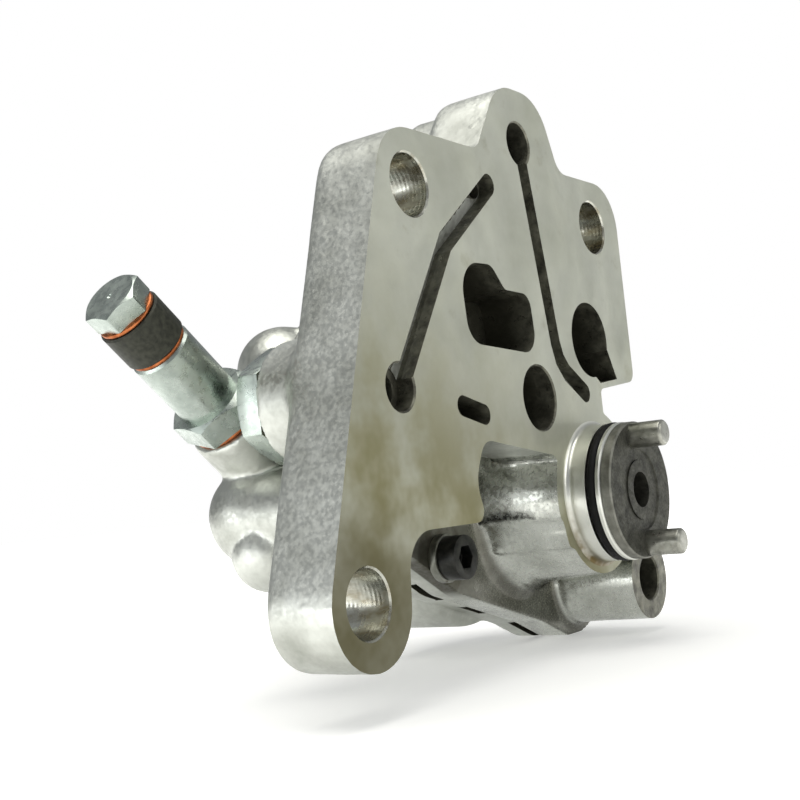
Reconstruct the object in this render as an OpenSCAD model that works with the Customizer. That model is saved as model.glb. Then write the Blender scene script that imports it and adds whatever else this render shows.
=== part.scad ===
// Engine-driven gear-type fuel feed pump, in millimetres.
// Origin: centre of the locating spigot on the mounting face.
// The mounting face lies in the plane Y = 0 and looks towards -Y, and +Z is up.

/* [Mounting flange] */
// Thickness of the flange plate
flange_t = 16; // [13:0.5:20]
// Height of the two upper bolt holes above the spigot centre
top_hole_z = 66.1; // [62:0.5:70]
// Place of the upper left bolt hole to the left of the spigot centre
left_hole_x = 68.2; // [64:0.5:72]
// Place of the upper right bolt hole to the right of the spigot centre
right_hole_x = 12.5; // [10:0.5:14]
// Place of the lower bolt hole to the left of the spigot centre
low_hole_x = 95; // [92:0.5:98]
// Depth of the lower bolt hole below the spigot centre
low_hole_z = 14.4; // [12:0.5:17]
// Bore of the three mounting bolt holes
bolt_hole_d = 13; // [10.5:0.5:14]
// Radius of the cast lug round the two left bolt holes
lug_r = 12.2; // [11:0.2:13]
// Height of the top edge of the flange
flange_top_z = 77.8; // [76:0.2:80]
// Half width of the flange to the right of the spigot centre
flange_right_x = 27; // [25:0.5:30]
// Lower edge of the right lobe at its outer end
right_lobe_z = 27.4; // [26:0.2:29]
// Right side of the narrow neck above the spigot
neck_x = 7.4; // [5:0.2:10]

/* [Oil and fuel passages in the mounting face] */
// Height of the top of the oil hole lobe
oil_lobe_top_z = 94.8; // [92:0.2:98]
// Place of the oil hole to the left of the spigot centre
oil_hole_x = 21.2; // [19:0.2:23]
// Height of the oil hole
oil_hole_z = 82; // [80:0.5:83]
// Bore of the oil hole
oil_hole_d = 10; // [8:0.5:11]
// Depth of the oil hole
oil_hole_depth = 20; // [12:1:22]
// Bore of the open end of the idler journal
journal_hole_d = 14.7; // [12:0.1:15]
// Bore of the recess that feeds the relief valve
valve_recess_d = 9.5; // [8:0.5:10]
// Depth of the recess that feeds the relief valve
valve_recess_depth = 4; // [3:0.5:5]
// Width of the wide oil groove
wide_groove_w = 5; // [4:0.2:6]
// Width of the narrow oil groove
narrow_groove_w = 4.6; // [3:0.2:5]
// Depth of both oil grooves
groove_depth = 4; // [3:0.5:5]
// Depth of the kidney port and of the long port
port_depth = 13; // [10:0.5:14]
// Depth of the small slot
slot_depth = 7; // [5:0.5:10]

/* [Spigot and shaft] */
// Diameter of the locating spigot
spigot_d = 32.5; // [32:0.1:33]
// Height of the spigot above the mounting face
spigot_h = 8.6; // [8.4:0.1:9]
// Radius of the flange face round the spigot
spigot_ring_r = 20.5; // [20:0.1:22]
// Thickness of the spigot ring section
ring_cord_d = 2.6; // [2.4:0.1:2.8]
// Distance of the ring groove from the mounting face
ring_groove_y = 4.8; // [4.5:0.1:5]
// Diameter of the drive shaft
shaft_d = 14; // [13:0.5:14]
// Bore in the end of the drive shaft
shaft_end_bore_d = 8.4; // [7:0.2:9]
// Depth of the bore in the end of the drive shaft
shaft_end_bore_len = 24; // [20:0.5:28]
// Thickness of the coupling disc
disc_t = 2.4; // [2:0.1:3]
// Diameter of the coupling disc
disc_d = 32.2; // [32:0.1:32.6]
// Diameter of the two drive pins
drive_pin_d = 6; // [5:0.5:6.5]
// Radius of the circle of the drive pins
drive_pin_circle_r = 12.8; // [12.4:0.1:12.9]
// Free length of the drive pins
drive_pin_out = 8.3; // [6:0.1:10]
// Angle of the line through the drive pins from the X axis
drive_pin_angle = 98; // [0:1:180]

/* [Gears] */
// Number of teeth on each gear
teeth = 12; // [12:1:12]
// Distance between the two gear axes
gear_centres = 33; // [33:0.05:33.2]
// Direction of the idler axis seen from the drive axis
gear_line_angle = 135.8; // [134:0.2:138]
// Width of both gears
gear_w = 16; // [14:0.5:17]
// Height of the gear teeth above the pitch circle
gear_addendum = 2.2; // [1.9:0.05:2.3]
// Gap between the gear tips and the housing
tip_gap = 0.2; // [0.15:0.05:0.3]

/* [Housings] */
// Distance of the joint between the housings from the mounting face
joint_y = 30; // [30:0.5:32]
// Thickness of the clamped rim of the rear housing
rear_rim_t = 8; // [7:0.5:10]
// Overall depth of the rear housing behind the joint
rear_depth = 32; // [31:0.5:36]
// Thickness of the front housing at the pocket screw
pocket_web_t = 8; // [7:0.5:8]
// Wall of the rear housing round the gears
rear_wall = 4.8; // [4:0.2:6]
// Place of the lower boss to the right of the spigot centre
boss_x = 23.2; // [22.5:0.1:24]
// Depth of the lower boss below the spigot centre
boss_z = 22.7; // [22:0.1:24]
// Radius of the lower boss at its face
boss_r = 10.2; // [9.5:0.1:11]
// Bore of the lower boss
boss_hole_d = 10.9; // [9:0.1:12]
// Diameter of the housing screws
screw_d = 6; // [5:0.5:6]

/* [Relief valve] */
// Place of the valve axis to the left of the spigot centre
valve_x = 78.3; // [77:0.1:79.5]
// Height of the valve axis
valve_z = 25; // [24:0.1:26]
// Radius of the cast collar round the valve
valve_collar_r = 12.6; // [12:0.1:13.5]
// Distance of the end of the valve collar from the mounting face
valve_collar_y = 26; // [25:0.5:27]
// Width across flats of the plug
plug_af = 21; // [20:0.5:22]
// Thickness of the hexagon of the plug
plug_hex_t = 6; // [5:0.5:6.5]
// Thread diameter of the plug
plug_thread_d = 16; // [15:0.5:17]
// Diameter of the relief piston
piston_d = 11.8; // [11:0.1:11.8]
// Travel of the relief piston
piston_travel = 3; // [2:0.5:3]

/* [Outlet nipple] */
// Distance of the nipple axis from the mounting face
nipple_y = 44; // [44:0.5:46]
// Angle of the nipple above the horizontal
nipple_tilt = 39; // [36:1:42]
// Diameter of the nipple barrel
nipple_d = 13.3; // [12.5:0.1:14]
// Length of the nipple barrel with its hexagon
nipple_len = 22; // [18:0.5:26]
// Width across flats of the nipple
nipple_af = 16.5; // [16:0.5:18]
// Thickness of the hexagon of the nipple
nipple_hex_t = 6; // [5:0.5:8]
// Outer diameter of the dark sleeve
sleeve_d = 13.6; // [13:0.1:15]
// Length of the dark sleeve
sleeve_len = 8.7; // [8:0.1:12]
// Width across flats of the banjo bolt
banjo_af = 11.5; // [11:0.5:12]
// Thickness of the head of the banjo bolt
banjo_head_t = 4.6; // [4:0.2:7]
// Thickness of the copper washers
copper_t = 1; // [0.8:0.1:1.5]

/* [Hidden] */
$fn = 64;

// Segments in each rounded corner of an outline
ARC_STEPS = 8;
// Running clearance on a radius
RUN = 0.05;
// Assembly clearance on a radius or an end face
FIT = 0.02;
// Overlap of a cutting tool past the face it leaves
CUT = 0.1;

pocket_y = joint_y - pocket_web_t;
disc_y = -spigot_h - 0.2;
disc_face_y = disc_y - disc_t;
gear_y = joint_y + 0.15;
gear_end_y = gear_y + gear_w;
pocket_end_y = gear_end_y + 0.15;
rim_y = joint_y + rear_rim_t;
rear_y = joint_y + rear_depth;
idler = gear_centres * [cos(gear_line_angle), sin(gear_line_angle)];
gear_tip_r = gear_centres / 2 + gear_addendum;
pocket_r = gear_tip_r + tip_gap;

// Seal and bearing seats in the nose
ring_out = 0.2;
spigot_wall = 1.85;
outer_seal_d = spigot_d - 2 * (ring_cord_d - ring_out + spigot_wall);
inner_seal_d = outer_seal_d - 2;
seal_w = 7;
circlip_t = 1;
circlip_seat = 1;
outer_seal_y = -spigot_h + 4.7;
inner_seal_y = outer_seal_y + seal_w + FIT;
bush_wall = 2;
bush_d = shaft_d + 2 * bush_wall;
front_bush_y = inner_seal_y + seal_w + 1.8;
rear_bush_l = 13;
hub_r = shaft_d / 2 + 2;
hub_y = outer_seal_y - circlip_t - 0.4;

// Screws
screw_clear_d = screw_d + 0.6;
screw_head_d = 10;
screw_head_t = 6;
socket_af = 5;
socket_depth = 3;
screw_points = [[29.2, 9], [10, 34.5], [-22, 52.6], [-52.5, 33]];
screw_reach = 13;
screw_thread = 7;
pocket_screw_at = [-37.3, -10.8];
pocket_head_t = 4.6;
pocket_washer_t = 2;
pocket_washer_d = 11;
pocket_screw_len = 15.5;
dowel_points = [[31.5, -7.5], [-44, 42.5]];
dowel_d = 5;
dowel_half = 5;

// Seal between the housings
seal_gap_r = 1.2;
seal_cord = 2;

function unit(v) = v / norm(v);

// Points of an outline whose corners [x, z, radius] are rounded by tangent arcs
function rounded(c) = [for (i = [0 : len(c) - 1])
    let (
        p = [c[i][0], c[i][1]],
        a = c[(i + len(c) - 1) % len(c)],
        b = c[(i + 1) % len(c)],
        u = unit([a[0], a[1]] - p),
        v = unit([b[0], b[1]] - p),
        half = acos(u * v) / 2,
        r = c[i][2],
        m = p + unit(u + v) * r / sin(half),
        s = p + u * r / tan(half) - m,
        e = p + v * r / tan(half) - m,
        a0 = atan2(s[1], s[0]),
        sweep = (atan2(e[1], e[0]) - a0 + 540) % 360 - 180
    )
    each r == 0 ? [p] : [for (k = [0 : ARC_STEPS])
        m + r * [cos(a0 + sweep * k / ARC_STEPS), sin(a0 + sweep * k / ARC_STEPS)]]];

// Solid of an outline in the XZ plane between two distances from the mounting face
module slab(y0, y1) {
    translate([0, y1, 0]) rotate([90, 0, 0]) linear_extrude(y1 - y0) children();
}

// Round bar or bore along Y
module rod(at, d, y0, y1) {
    translate([at[0], y1, at[1]]) rotate([90, 0, 0]) cylinder(d = d, h = y1 - y0);
}

// Tapered bar along Y
module cone(at, d0, d1, y0, y1) {
    translate([at[0], y0, at[1]]) rotate([-90, 0, 0]) cylinder(d1 = d0, d2 = d1, h = y1 - y0);
}

// Revolved profile [radius, distance from the mounting face] about an axis along Y
module turned(at, profile) {
    translate([at[0], 0, at[1]]) rotate([-90, 0, 0]) rotate_extrude() polygon(profile);
}

// Ring round an axis along Y
module ring(at, d_out, d_in, y0, y1) {
    difference() {
        rod(at, d_out, y0, y1);
        rod(at, d_in, y0 - CUT, y1 + CUT);
    }
}

function left_of(v) = [-v[1], v[0]];

// Half turn of a slot end, clockwise from a starting direction
function half_turn(p, w, from) = [for (k = [0 : 2 * ARC_STEPS])
    let (a = atan2(from[1], from[0]) - 90 * k / ARC_STEPS) p + w / 2 * [cos(a), sin(a)]];

// Outline of a slot of one width along a list of points, with round ends
function slot_outline(p, w) = let (
        n = len(p),
        d = [for (i = [1 : n - 1]) unit(p[i] - p[i - 1])],
        side = [for (i = [0 : n - 1]) let (a = left_of(d[max(i - 1, 0)]), b = left_of(d[min(i, n - 2)])) (a + b) / (1 + a * b)],
        mid = n > 2 ? [1 : n - 2] : []
    )
    concat(
        [for (i = mid) p[i] + w / 2 * side[i]],
        half_turn(p[n - 1], w, side[n - 1]),
        [for (i = mid) p[n - 1 - i] - w / 2 * side[n - 1 - i]],
        half_turn(p[0], w, -side[0]));

// Milled trough through a list of points
module trough(points, w, depth) {
    slab(-CUT, depth) polygon(slot_outline(points, w));
}

// Concave fillet ring at the foot of a boss, on the side of smaller distance
module foot_fillet(at, r, fillet, y) {
    turned(at, concat([[r - 1, y + 1], [r - 1, y - fillet]],
        [for (k = [0 : ARC_STEPS]) [r + fillet - fillet * cos(90 * k / ARC_STEPS), y - fillet + fillet * sin(90 * k / ARC_STEPS)]],
        [[r + fillet, y + 1]]));
}

// Hexagon with turned chamfers at one end
module hexagon(af, t) {
    r = af / 2 / cos(30);
    intersection() {
        cylinder(r = r, h = t, $fn = 6);
        cylinder(r1 = af / 2 + t * 1.7, r2 = af / 2 - 0.3, h = t);
    }
}

// Coil spring along +Z, standing on z = 0
module coil(mid_r, wire_d, length, turns) {
    sides = 8;
    per_turn = 14;
    n = turns * per_turn;
    rise = length - wire_d;
    points = [for (i = [0 : n], k = [0 : sides - 1])
        let (a = 360 * i / per_turn, b = 360 * k / sides, q = mid_r + wire_d / 2 * cos(b))
        [q * cos(a), q * sin(a), wire_d / 2 + rise * i / n + wire_d / 2 * sin(b)]];
    faces = concat(
        [[for (k = [0 : sides - 1]) k]],
        [for (i = [0 : n - 1], k = [0 : sides - 1])
            [i * sides + k, (i + 1) * sides + k, (i + 1) * sides + (k + 1) % sides, i * sides + (k + 1) % sides]],
        [[for (k = [0 : sides - 1]) n * sides + sides - 1 - k]]);
    polyhedron(points, faces);
}

/* Flange and ports */
top_left = [-left_hole_x, top_hole_z];
top_right = [right_hole_x, top_hole_z];
low_left = [-low_hole_x, -low_hole_z];
lower_boss = [boss_x, -boss_z];
valve = [-valve_x, valve_z];
oil_hole = [-oil_hole_x, oil_hole_z];

flange_outline = [
    [-left_hole_x - 8, flange_top_z, lug_r], [-40.3, flange_top_z, 4], [-28.9, oil_lobe_top_z, 12],
    [-9.8, oil_lobe_top_z, 12], [-2.6, flange_top_z, 5], [flange_right_x, flange_top_z, 11],
    [flange_right_x, right_lobe_z, 3], [neck_x, right_lobe_z - 2.2, 1.2], [neck_x, 10, 0], [-12, 4, 0],
    [-20.3, 9.9, 1.5], [-49.8, 14.2, 4.5], [-54.6, 5.5, 8], [-51.6, -2.8, 2.6], [-80.5, -2.8, 8],
    [-82.8, -27, 12], [-110.5, -27, 12]];

kidney = [[-52.5, 51.9, 7], [-39.5, 52.2, 4], [-34.5, 47, 2.5], [-23.8, 46.6, 3.5], [-22.6, 32.9, 5], [-51.4, 34.6, 5.5]];
long_port_at = [4.3, 37.3];
long_port_d = 18.4;
long_port_foot = [[5, 28.6, 0], [7.8, 26.7, 0.8], [17.2, 27.8, 1], [13.4, 35, 0], [4, 36, 0]];
groove_end = [-37, 70.2];
groove_hole_d = 4.4;
inlet_drill = [3, 33];
inlet_drill_d = 10;
kidney_drill = [-41, 40.5];
kidney_drill_d = 9;
small_slot = [[-56.6, 21.3], [-48.4, 19.4]];
small_slot_w = 4.4;
wide_groove_bend = [-57, 55.5];
narrow_groove_bends = [[-13.6, 36], [-12.2, 32], [-9.4, 29], [-1, 24.2]];
oil_lump_r = 12;
oil_lump_y = 25;
valve_lump = [-68.5, 31];
valve_lump_r = 11.5;
valve_feed_d = 6;

// Outline of the clamped faces of both housings
mating_outline = [
    [-56.5, -5, 8], [-31, -19.6, 14], [6, -31, 8], [18, -36.2, 8], [37.2, -36.2, 13], [37.2, 2, 12],
    [31, 24, 12], [12, 46, 12], [-8, 61, 12], [-36, 60, 12], [-61, 48, 12], [-61, 20, 12]];

// Notches in the lower edge of the joint, each with its middle, its slope and its length
edge_notches = [[-30.3, -17.6, 30, 12], [-11.7, -25.2, 17, 9], [12.5, -33.4, 22, 15]];

// Outline of the plate behind the flange, above the open bay
plate_outline = [
    [-59, 15, 3], [-21, 12.5, 0], [0, 8, 0], [35.5, 8, 0], [35.5, 20, 12],
    [11, 45, 12], [-8, 60, 12], [-36, 59, 12], [-59.5, 47, 12]];

// Nose round the spigot: full above its two cast steps, smaller in radius below each of them
nose_step_z = [-5, -10.8];
nose_step_r = 0.75;
nose_low_r = spigot_ring_r - len(nose_step_z) * nose_step_r;
nose_draft = 4.4;
nose_fillet = 4;
boss_draft = 1.2;
boss_fillet = 1.5;

module nose() {
    nose_cone(nose_low_r);
    for (i = [0 : len(nose_step_z) - 1]) intersection() {
        nose_cone(spigot_ring_r - i * nose_step_r);
        slab(-CUT, joint_y) translate([-joint_y, nose_step_z[i]]) square(2 * joint_y);
    }
    foot_fillet([0, 0], nose_low_r + nose_draft / 2, nose_fillet, pocket_y);
}

module nose_cone(r) {
    cone([0, 0], 2 * r, 2 * r + nose_draft, 0, pocket_y + 1);
}

module boss() {
    cone(lower_boss, 2 * boss_r, 2 * boss_r + boss_draft, 0, pocket_y + 1);
    foot_fillet(lower_boss, boss_r + boss_draft / 2, boss_fillet, pocket_y);
}

// Locating spigot with its root radius, ring groove and end chamfer
module spigot() {
    r = spigot_d / 2;
    root = 0.1;
    groove_r = r - ring_cord_d + ring_out - FIT;
    turned([0, 0], concat(
        [[0, 1], [r + root, 1]],
        [for (k = [0 : ARC_STEPS]) [r + root - root * sin(90 * k / ARC_STEPS), -root + root * cos(90 * k / ARC_STEPS)]],
        [[r, -ring_groove_y], [groove_r, -ring_groove_y], [groove_r, -ring_groove_y - ring_cord_d],
            [r, -ring_groove_y - ring_cord_d], [r, -spigot_h + 0.5], [r - 0.5, -spigot_h], [0, -spigot_h]]));
}

module front_housing() {
    color("silver")
    difference() {
        union() {
            slab(0, flange_t) polygon(rounded(flange_outline));
            slab(flange_t - 1, pocket_y + 1) polygon(rounded(plate_outline));
            slab(pocket_y, joint_y) polygon(rounded(mating_outline));
            spigot();
            nose();
            boss();
            rod(oil_hole + [1.2, -1.2], 2 * oil_lump_r, 0, oil_lump_y);
            cone(valve, 2 * valve_collar_r + 1.6, 2 * valve_collar_r, flange_t - 1, valve_collar_y);
            rod(valve_lump, 2 * valve_lump_r, flange_t - 1, valve_collar_y);
        }
        front_openings();
    }
}

// Everything that is cut from the front housing
module front_openings() {
    for (p = [top_left, top_right, low_left]) rod(p, bolt_hole_d, -CUT, joint_y + CUT);
    rod(lower_boss, boss_hole_d, -CUT, joint_y + CUT);
    rod(oil_hole, oil_hole_d, -CUT, oil_hole_depth);
    rod(idler, journal_hole_d, -CUT, front_bush_y - 2);
    rod(idler, shaft_d + 2 * FIT, front_bush_y, joint_y + CUT);
    slab(-CUT, port_depth) polygon(rounded(kidney));
    rod(long_port_at, long_port_d, -CUT, port_depth);
    slab(-CUT, port_depth) polygon(rounded(long_port_foot));
    rod(inlet_drill, inlet_drill_d, port_depth - 1, joint_y + CUT);
    rod(kidney_drill, kidney_drill_d, port_depth - 1, joint_y - 6);
    trough(small_slot, small_slot_w, slot_depth);
    trough([groove_end, wide_groove_bend, valve], wide_groove_w, groove_depth);
    trough(concat([oil_hole], narrow_groove_bends), narrow_groove_w, groove_depth);
    rod(groove_end, groove_hole_d, -CUT, port_depth);
    rod(valve, valve_recess_d, -CUT, valve_recess_depth);
    rod(valve, valve_feed_d, 0, valve_seat_y + CUT);
    rod(valve, piston_d + 0.2, valve_seat_y, plug_end_y);
    rod(valve, plug_thread_d + 2 * FIT, plug_end_y - FIT, valve_collar_y + CUT);
    rod([0, 0], outer_seal_d + 2 * FIT, -spigot_h - CUT, outer_seal_y + seal_w + FIT);
    rod([0, 0], outer_seal_d + 2 * circlip_seat, outer_seal_y - circlip_t - FIT, outer_seal_y - FIT);
    rod([0, 0], inner_seal_d + 2 * FIT, inner_seal_y - CUT, inner_seal_y + seal_w + FIT);
    rod([0, 0], shaft_d + 2, inner_seal_y, front_bush_y + CUT);
    rod([0, 0], bush_d + 2 * FIT, front_bush_y, joint_y + CUT);
    for (p = screw_points) rod(p, screw_d + 2 * FIT, joint_y - screw_thread, joint_y + CUT);
    for (p = dowel_points) rod(p, dowel_d + 2 * FIT, joint_y - dowel_half - FIT, joint_y + CUT);
    rod(pocket_screw_at, screw_clear_d, pocket_y - CUT, joint_y + CUT);
}

/* Rear housing */
body_r = pocket_r + rear_wall;
gallery_z = 2.9;
gallery_r = 11;
gallery_x = -72;
knob = [-60.1, 34.1];
knob_r = 10.2;
gallery_lobe = [-74.5, -5];
gallery_lobe_r = 8.3;
gallery_drill_d = 8;
gallery_plug_d = 12;
gallery_plug_t = 5;
gallery_plug_af = 6;
gallery_end_x = -17;
gallery_len = 32;
lobe_drop = 4;
lobe_len = 30;
knob_len = 24;
boss_len = 18;
boss_foot_r = 9;
nipple_drill_d = 5;
nipple_drill_len = 27;
bearing_boss_d = 33;
bearing_boss_end_d = 28;
bearing_boss_t = 7;
rib_t = 6;
rear_inlet = [1.5, 26];
nipple_seat = [-80, 23.9];
gallery_plug_y = nipple_y - gallery_r - 1.5;
nipple_dir = [-cos(nipple_tilt), sin(nipple_tilt)];

module nipple_frame(t = 0) {
    translate([nipple_seat[0] + t * nipple_dir[0], nipple_y, nipple_seat[1] + t * nipple_dir[1]])
        rotate([0, nipple_tilt - 90, 0]) children();
}

module rear_housing() {
    color("silver")
    difference() {
        union() {
            slab(joint_y, rim_y) polygon(rounded(mating_outline));
            slab(rim_y - 1, rear_y - 6) body_outline();
            for (p = [[0, 0], idler]) cone(p, bearing_boss_d, bearing_boss_end_d, rear_y - bearing_boss_t, rear_y);
            slab(rim_y, rear_y - bearing_boss_t / 4) rear_ribs();
            translate([gallery_x, nipple_y, gallery_z]) rotate([0, 90, 0]) cylinder(r = gallery_r, h = gallery_len);
            translate([gallery_x, nipple_y, gallery_z]) sphere(r = gallery_r);
            rod([gallery_x, gallery_z], 2 * gallery_r - 3, gallery_plug_y, nipple_y);
            translate([gallery_lobe[0], nipple_y - lobe_drop, gallery_lobe[1]]) sphere(r = gallery_lobe_r);
            translate([gallery_lobe[0], nipple_y - lobe_drop, gallery_lobe[1]]) rotate([0, 90, 0]) cylinder(r = gallery_lobe_r, h = lobe_len);
            translate([knob[0], nipple_y, 0]) cylinder(r = knob_r, h = knob[1]);
            translate([knob[0], nipple_y, knob[1]]) sphere(r = knob_r);
            translate([knob[0], nipple_y, knob[1]]) rotate([0, 90, 0]) cylinder(r = knob_r, h = knob_len);
            nipple_frame(-boss_len) cylinder(r = boss_foot_r, h = boss_len);
        }
        rear_openings();
    }
}

module body_outline() {
    circle(r = body_r);
    translate(idler) circle(r = body_r);
    translate(idler / 2) rotate(gear_line_angle) square([gear_centres, 2 * body_r - 4], center = true);
    translate([-4, -6.5]) circle(r = body_r);
}

// Stiffening ribs across the back, one through both bearings and one through each of them
module rear_ribs() {
    translate(idler / 2) rotate(gear_line_angle) square([gear_centres, rib_t], center = true);
    for (p = [[0, 0], idler])
        translate(p) rotate(gear_line_angle + 90) square([2 * body_r - rib_t, rib_t - 1], center = true);
}

module pocket_outline(r) {
    circle(r = r);
    translate(idler) circle(r = r);
}

// Everything that is cut from the rear housing
module rear_openings() {
    slab(joint_y - CUT, pocket_end_y) pocket_outline(pocket_r);
    slab(joint_y - CUT, joint_y + seal_cord - 0.1) difference() {
        pocket_outline(pocket_r + seal_gap_r + seal_cord);
        pocket_outline(pocket_r + seal_gap_r);
    }
    rod(rear_inlet, inlet_drill_d, joint_y - CUT, gear_end_y - 3);
    rod([0, 0], bush_d + 2 * FIT, pocket_end_y - CUT, pocket_end_y + rear_bush_l + FIT);
    rod(idler, shaft_d + 2 * FIT, pocket_end_y - CUT, pocket_end_y + rear_bush_l);
    for (p = screw_points) rod(p, screw_clear_d, joint_y - CUT, rim_y + CUT);
    for (p = screw_points) rod(p, screw_head_d + 1, rim_y, rear_y + CUT);
    for (p = dowel_points) rod(p, dowel_d + 2 * FIT, joint_y - CUT, joint_y + dowel_half + FIT);
    rod(pocket_screw_at, screw_d + 2 * FIT, joint_y - CUT, rim_y - 2);
    rod(lower_boss, boss_hole_d, joint_y - CUT, rim_y + CUT);
    translate([gallery_x, nipple_y, gallery_z]) rotate([0, 90, 0]) cylinder(d = gallery_drill_d, h = gallery_end_x - gallery_x);
    rod([gallery_x, gallery_z], gallery_drill_d, gallery_plug_y, nipple_y + 3);
    rod([gallery_x, gallery_z], gallery_plug_d + 2 * FIT, gallery_plug_y - CUT, gallery_plug_y + gallery_plug_t + 1);
    nipple_frame(-nipple_drill_len) cylinder(d = nipple_drill_d, h = nipple_drill_len + 1);
    for (s = edge_notches)
        translate([s[0], joint_y - CUT, s[1]]) rotate([0, s[2], 0]) translate([-s[3] / 2, 0, -3]) cube([s[3], 2.6, 6]);
}

/* Valves */
valve_seat_y = 8;
piston_t = 6;
plug_end_y = valve_seat_y + piston_t + piston_travel + 0.2;
plug_bore_end_y = valve_collar_y - 1;
plug_bore_d = 11.4;
relief_wire_d = 1.3;
relief_coil_r = 4.3;
check_wire_d = 0.9;
check_coil_r = 2.6;
plug_hex_y = valve_collar_y + copper_t;
ball_d = 8;
ball_hole_d = 5.5;
banjo_shank_d = 10;
banjo_cross_d = 3;
ball_floor = 8;
ball_at = ball_floor + sqrt(pow(ball_d / 2, 2) - pow(ball_hole_d / 2, 2)) + FIT;
bolt_end = ball_at + ball_d / 2 + 5;
nipple_top = nipple_len + copper_t;
sleeve_at = nipple_top + copper_t;
sleeve_top = sleeve_at + sleeve_len;
head_at = sleeve_top + copper_t;

module housing_seal() {
    color("dimgray") slab(joint_y + FIT, joint_y + seal_cord - 0.2) difference() {
        pocket_outline(pocket_r + seal_gap_r + seal_cord - 0.1);
        pocket_outline(pocket_r + seal_gap_r + 0.1);
    }
}

module dowel_pins() {
    color("lightgray") for (p = dowel_points) rod(p, dowel_d, joint_y - dowel_half, joint_y + dowel_half);
}

// Socket head cap screw along Y, with its head at the larger distance
module cap_screw(at, head_y, head_t, shank_end_y) {
    difference() {
        union() {
            rod(at, screw_head_d, head_y, head_y + head_t);
            rod(at, screw_d, shank_end_y, head_y + 1);
        }
        translate([at[0], head_y + head_t + CUT, at[1]]) rotate([90, 0, 0]) cylinder(d = socket_af / cos(30), h = socket_depth, $fn = 6);
    }
}

module housing_screws() {
    color("dimgray") for (p = screw_points) cap_screw(p, rim_y, screw_head_t, rim_y - screw_reach);
}

module pocket_screw() {
    head_y = pocket_y - pocket_washer_t;
    color("dimgray") translate([0, 2 * head_y, 0]) mirror([0, 1, 0])
        cap_screw(pocket_screw_at, head_y, pocket_head_t, head_y - pocket_screw_len);
}

module pocket_washer() {
    color("gray") ring(pocket_screw_at, pocket_washer_d, screw_d + 0.2, pocket_y - pocket_washer_t, pocket_y);
}

module spigot_ring() {
    r = spigot_d / 2 - ring_cord_d + ring_out;
    color("black") turned([0, 0], [for (k = [0 : 23])
        [r + ring_cord_d / 2 + ring_cord_d / 2 * cos(15 * k), -ring_groove_y - ring_cord_d / 2 + (ring_cord_d / 2 - 0.02) * sin(15 * k)]]);
}

// Lip seal for the drive shaft, open to the larger distance
module lip_seal(d, y) {
    lip_r = shaft_d / 2 + RUN;
    turned([0, 0], [[d / 2, y], [d / 2, y + seal_w], [d / 2 - 1.2, y + seal_w], [d / 2 - 1.2, y + 1.2], [lip_r + 1.6, y + 1.2],
        [lip_r + 1.4, y + 5], [lip_r, y + 4.4], [lip_r, y + 3.8], [lip_r + 0.5, y]]);
}

module outer_shaft_seal() {
    color("dimgray") lip_seal(outer_seal_d, outer_seal_y);
}

module inner_shaft_seal() {
    color("dimgray") lip_seal(inner_seal_d, inner_seal_y);
}

module seal_circlip() {
    y = outer_seal_y - circlip_t;
    color("gray") difference() {
        ring([0, 0], outer_seal_d + 2 * circlip_seat - 0.2, outer_seal_d - 4.4, y, y + circlip_t - 2 * FIT);
        translate([-2.5, y - CUT, 6]) cube([5, circlip_t + 2 * CUT, 10]);
    }
}

module front_shaft_bush() {
    color("darkgoldenrod") ring([0, 0], bush_d, shaft_d + 2 * RUN, front_bush_y + FIT, joint_y);
}

module rear_shaft_bush() {
    color("darkgoldenrod") ring([0, 0], bush_d, shaft_d + 2 * RUN, pocket_end_y, pocket_end_y + rear_bush_l);
}

key_w = 5;
key_h = 5;
key_y0 = gear_y + 2;
key_y1 = gear_end_y - 2;

module key_box(gap) {
    translate([-key_w / 2 - gap, key_y0 - gap, shaft_d / 2 - key_h / 2 - gap])
        cube([key_w + 2 * gap, key_y1 - key_y0 + 2 * gap, key_h + 2 * gap]);
}

module drive_shaft() {
    color("darkgray") difference() {
        rod([0, 0], shaft_d, disc_face_y, pocket_end_y + rear_bush_l - 0.5);
        rod([0, 0], shaft_end_bore_d, disc_face_y - CUT, disc_face_y + shaft_end_bore_len);
        key_box(FIT);
    }
}

module drive_key() {
    color("gray") key_box(0);
}

// Involute gear outline with one tooth on the +X axis
pitch_r = gear_centres / 2;
pressure = 25;
base_r = pitch_r * cos(pressure);
root_r = gear_centres - gear_tip_r - 0.35;
tooth_thin = 0.3;
function inv(a) = tan(a) * 180 / PI - a;
tooth_half = 90 / teeth - tooth_thin / (2 * pitch_r) * 180 / PI + inv(pressure);
function flank(side) = [for (k = [0 : 5])
    let (r = base_r + (gear_tip_r - base_r) * k / 5, a = side * (tooth_half - inv(acos(base_r / r))))
    [r, a]];

module gear_outline() {
    polygon([for (i = [0 : teeth - 1], q = concat([[root_r, -tooth_half]], flank(-1), [for (k = [5 : -1 : 0]) flank(1)[k]], [[root_r, tooth_half]]))
        q[0] * [cos(q[1] + 360 * i / teeth), sin(q[1] + 360 * i / teeth)]]);
}

module drive_gear() {
    color("darkgray") difference() {
        slab(gear_y, gear_end_y) rotate(gear_line_angle) gear_outline();
        rod([0, 0], shaft_d + 2 * FIT, gear_y - CUT, gear_end_y + CUT);
        translate([-key_w / 2 - FIT, gear_y - CUT, 0]) cube([key_w + 2 * FIT, gear_w + 2 * CUT, shaft_d / 2 + key_h / 2 + FIT]);
    }
}

module driven_gear() {
    color("darkgray") difference() {
        slab(gear_y, gear_end_y) translate(idler) rotate(gear_line_angle + 180 + 180 / teeth) gear_outline();
        rod(idler, bush_d + 2 * FIT, gear_y - CUT, gear_end_y + CUT);
    }
}

module idler_bush() {
    color("darkgoldenrod") ring(idler, bush_d, shaft_d + 2 * RUN, gear_y, gear_end_y);
}

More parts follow.
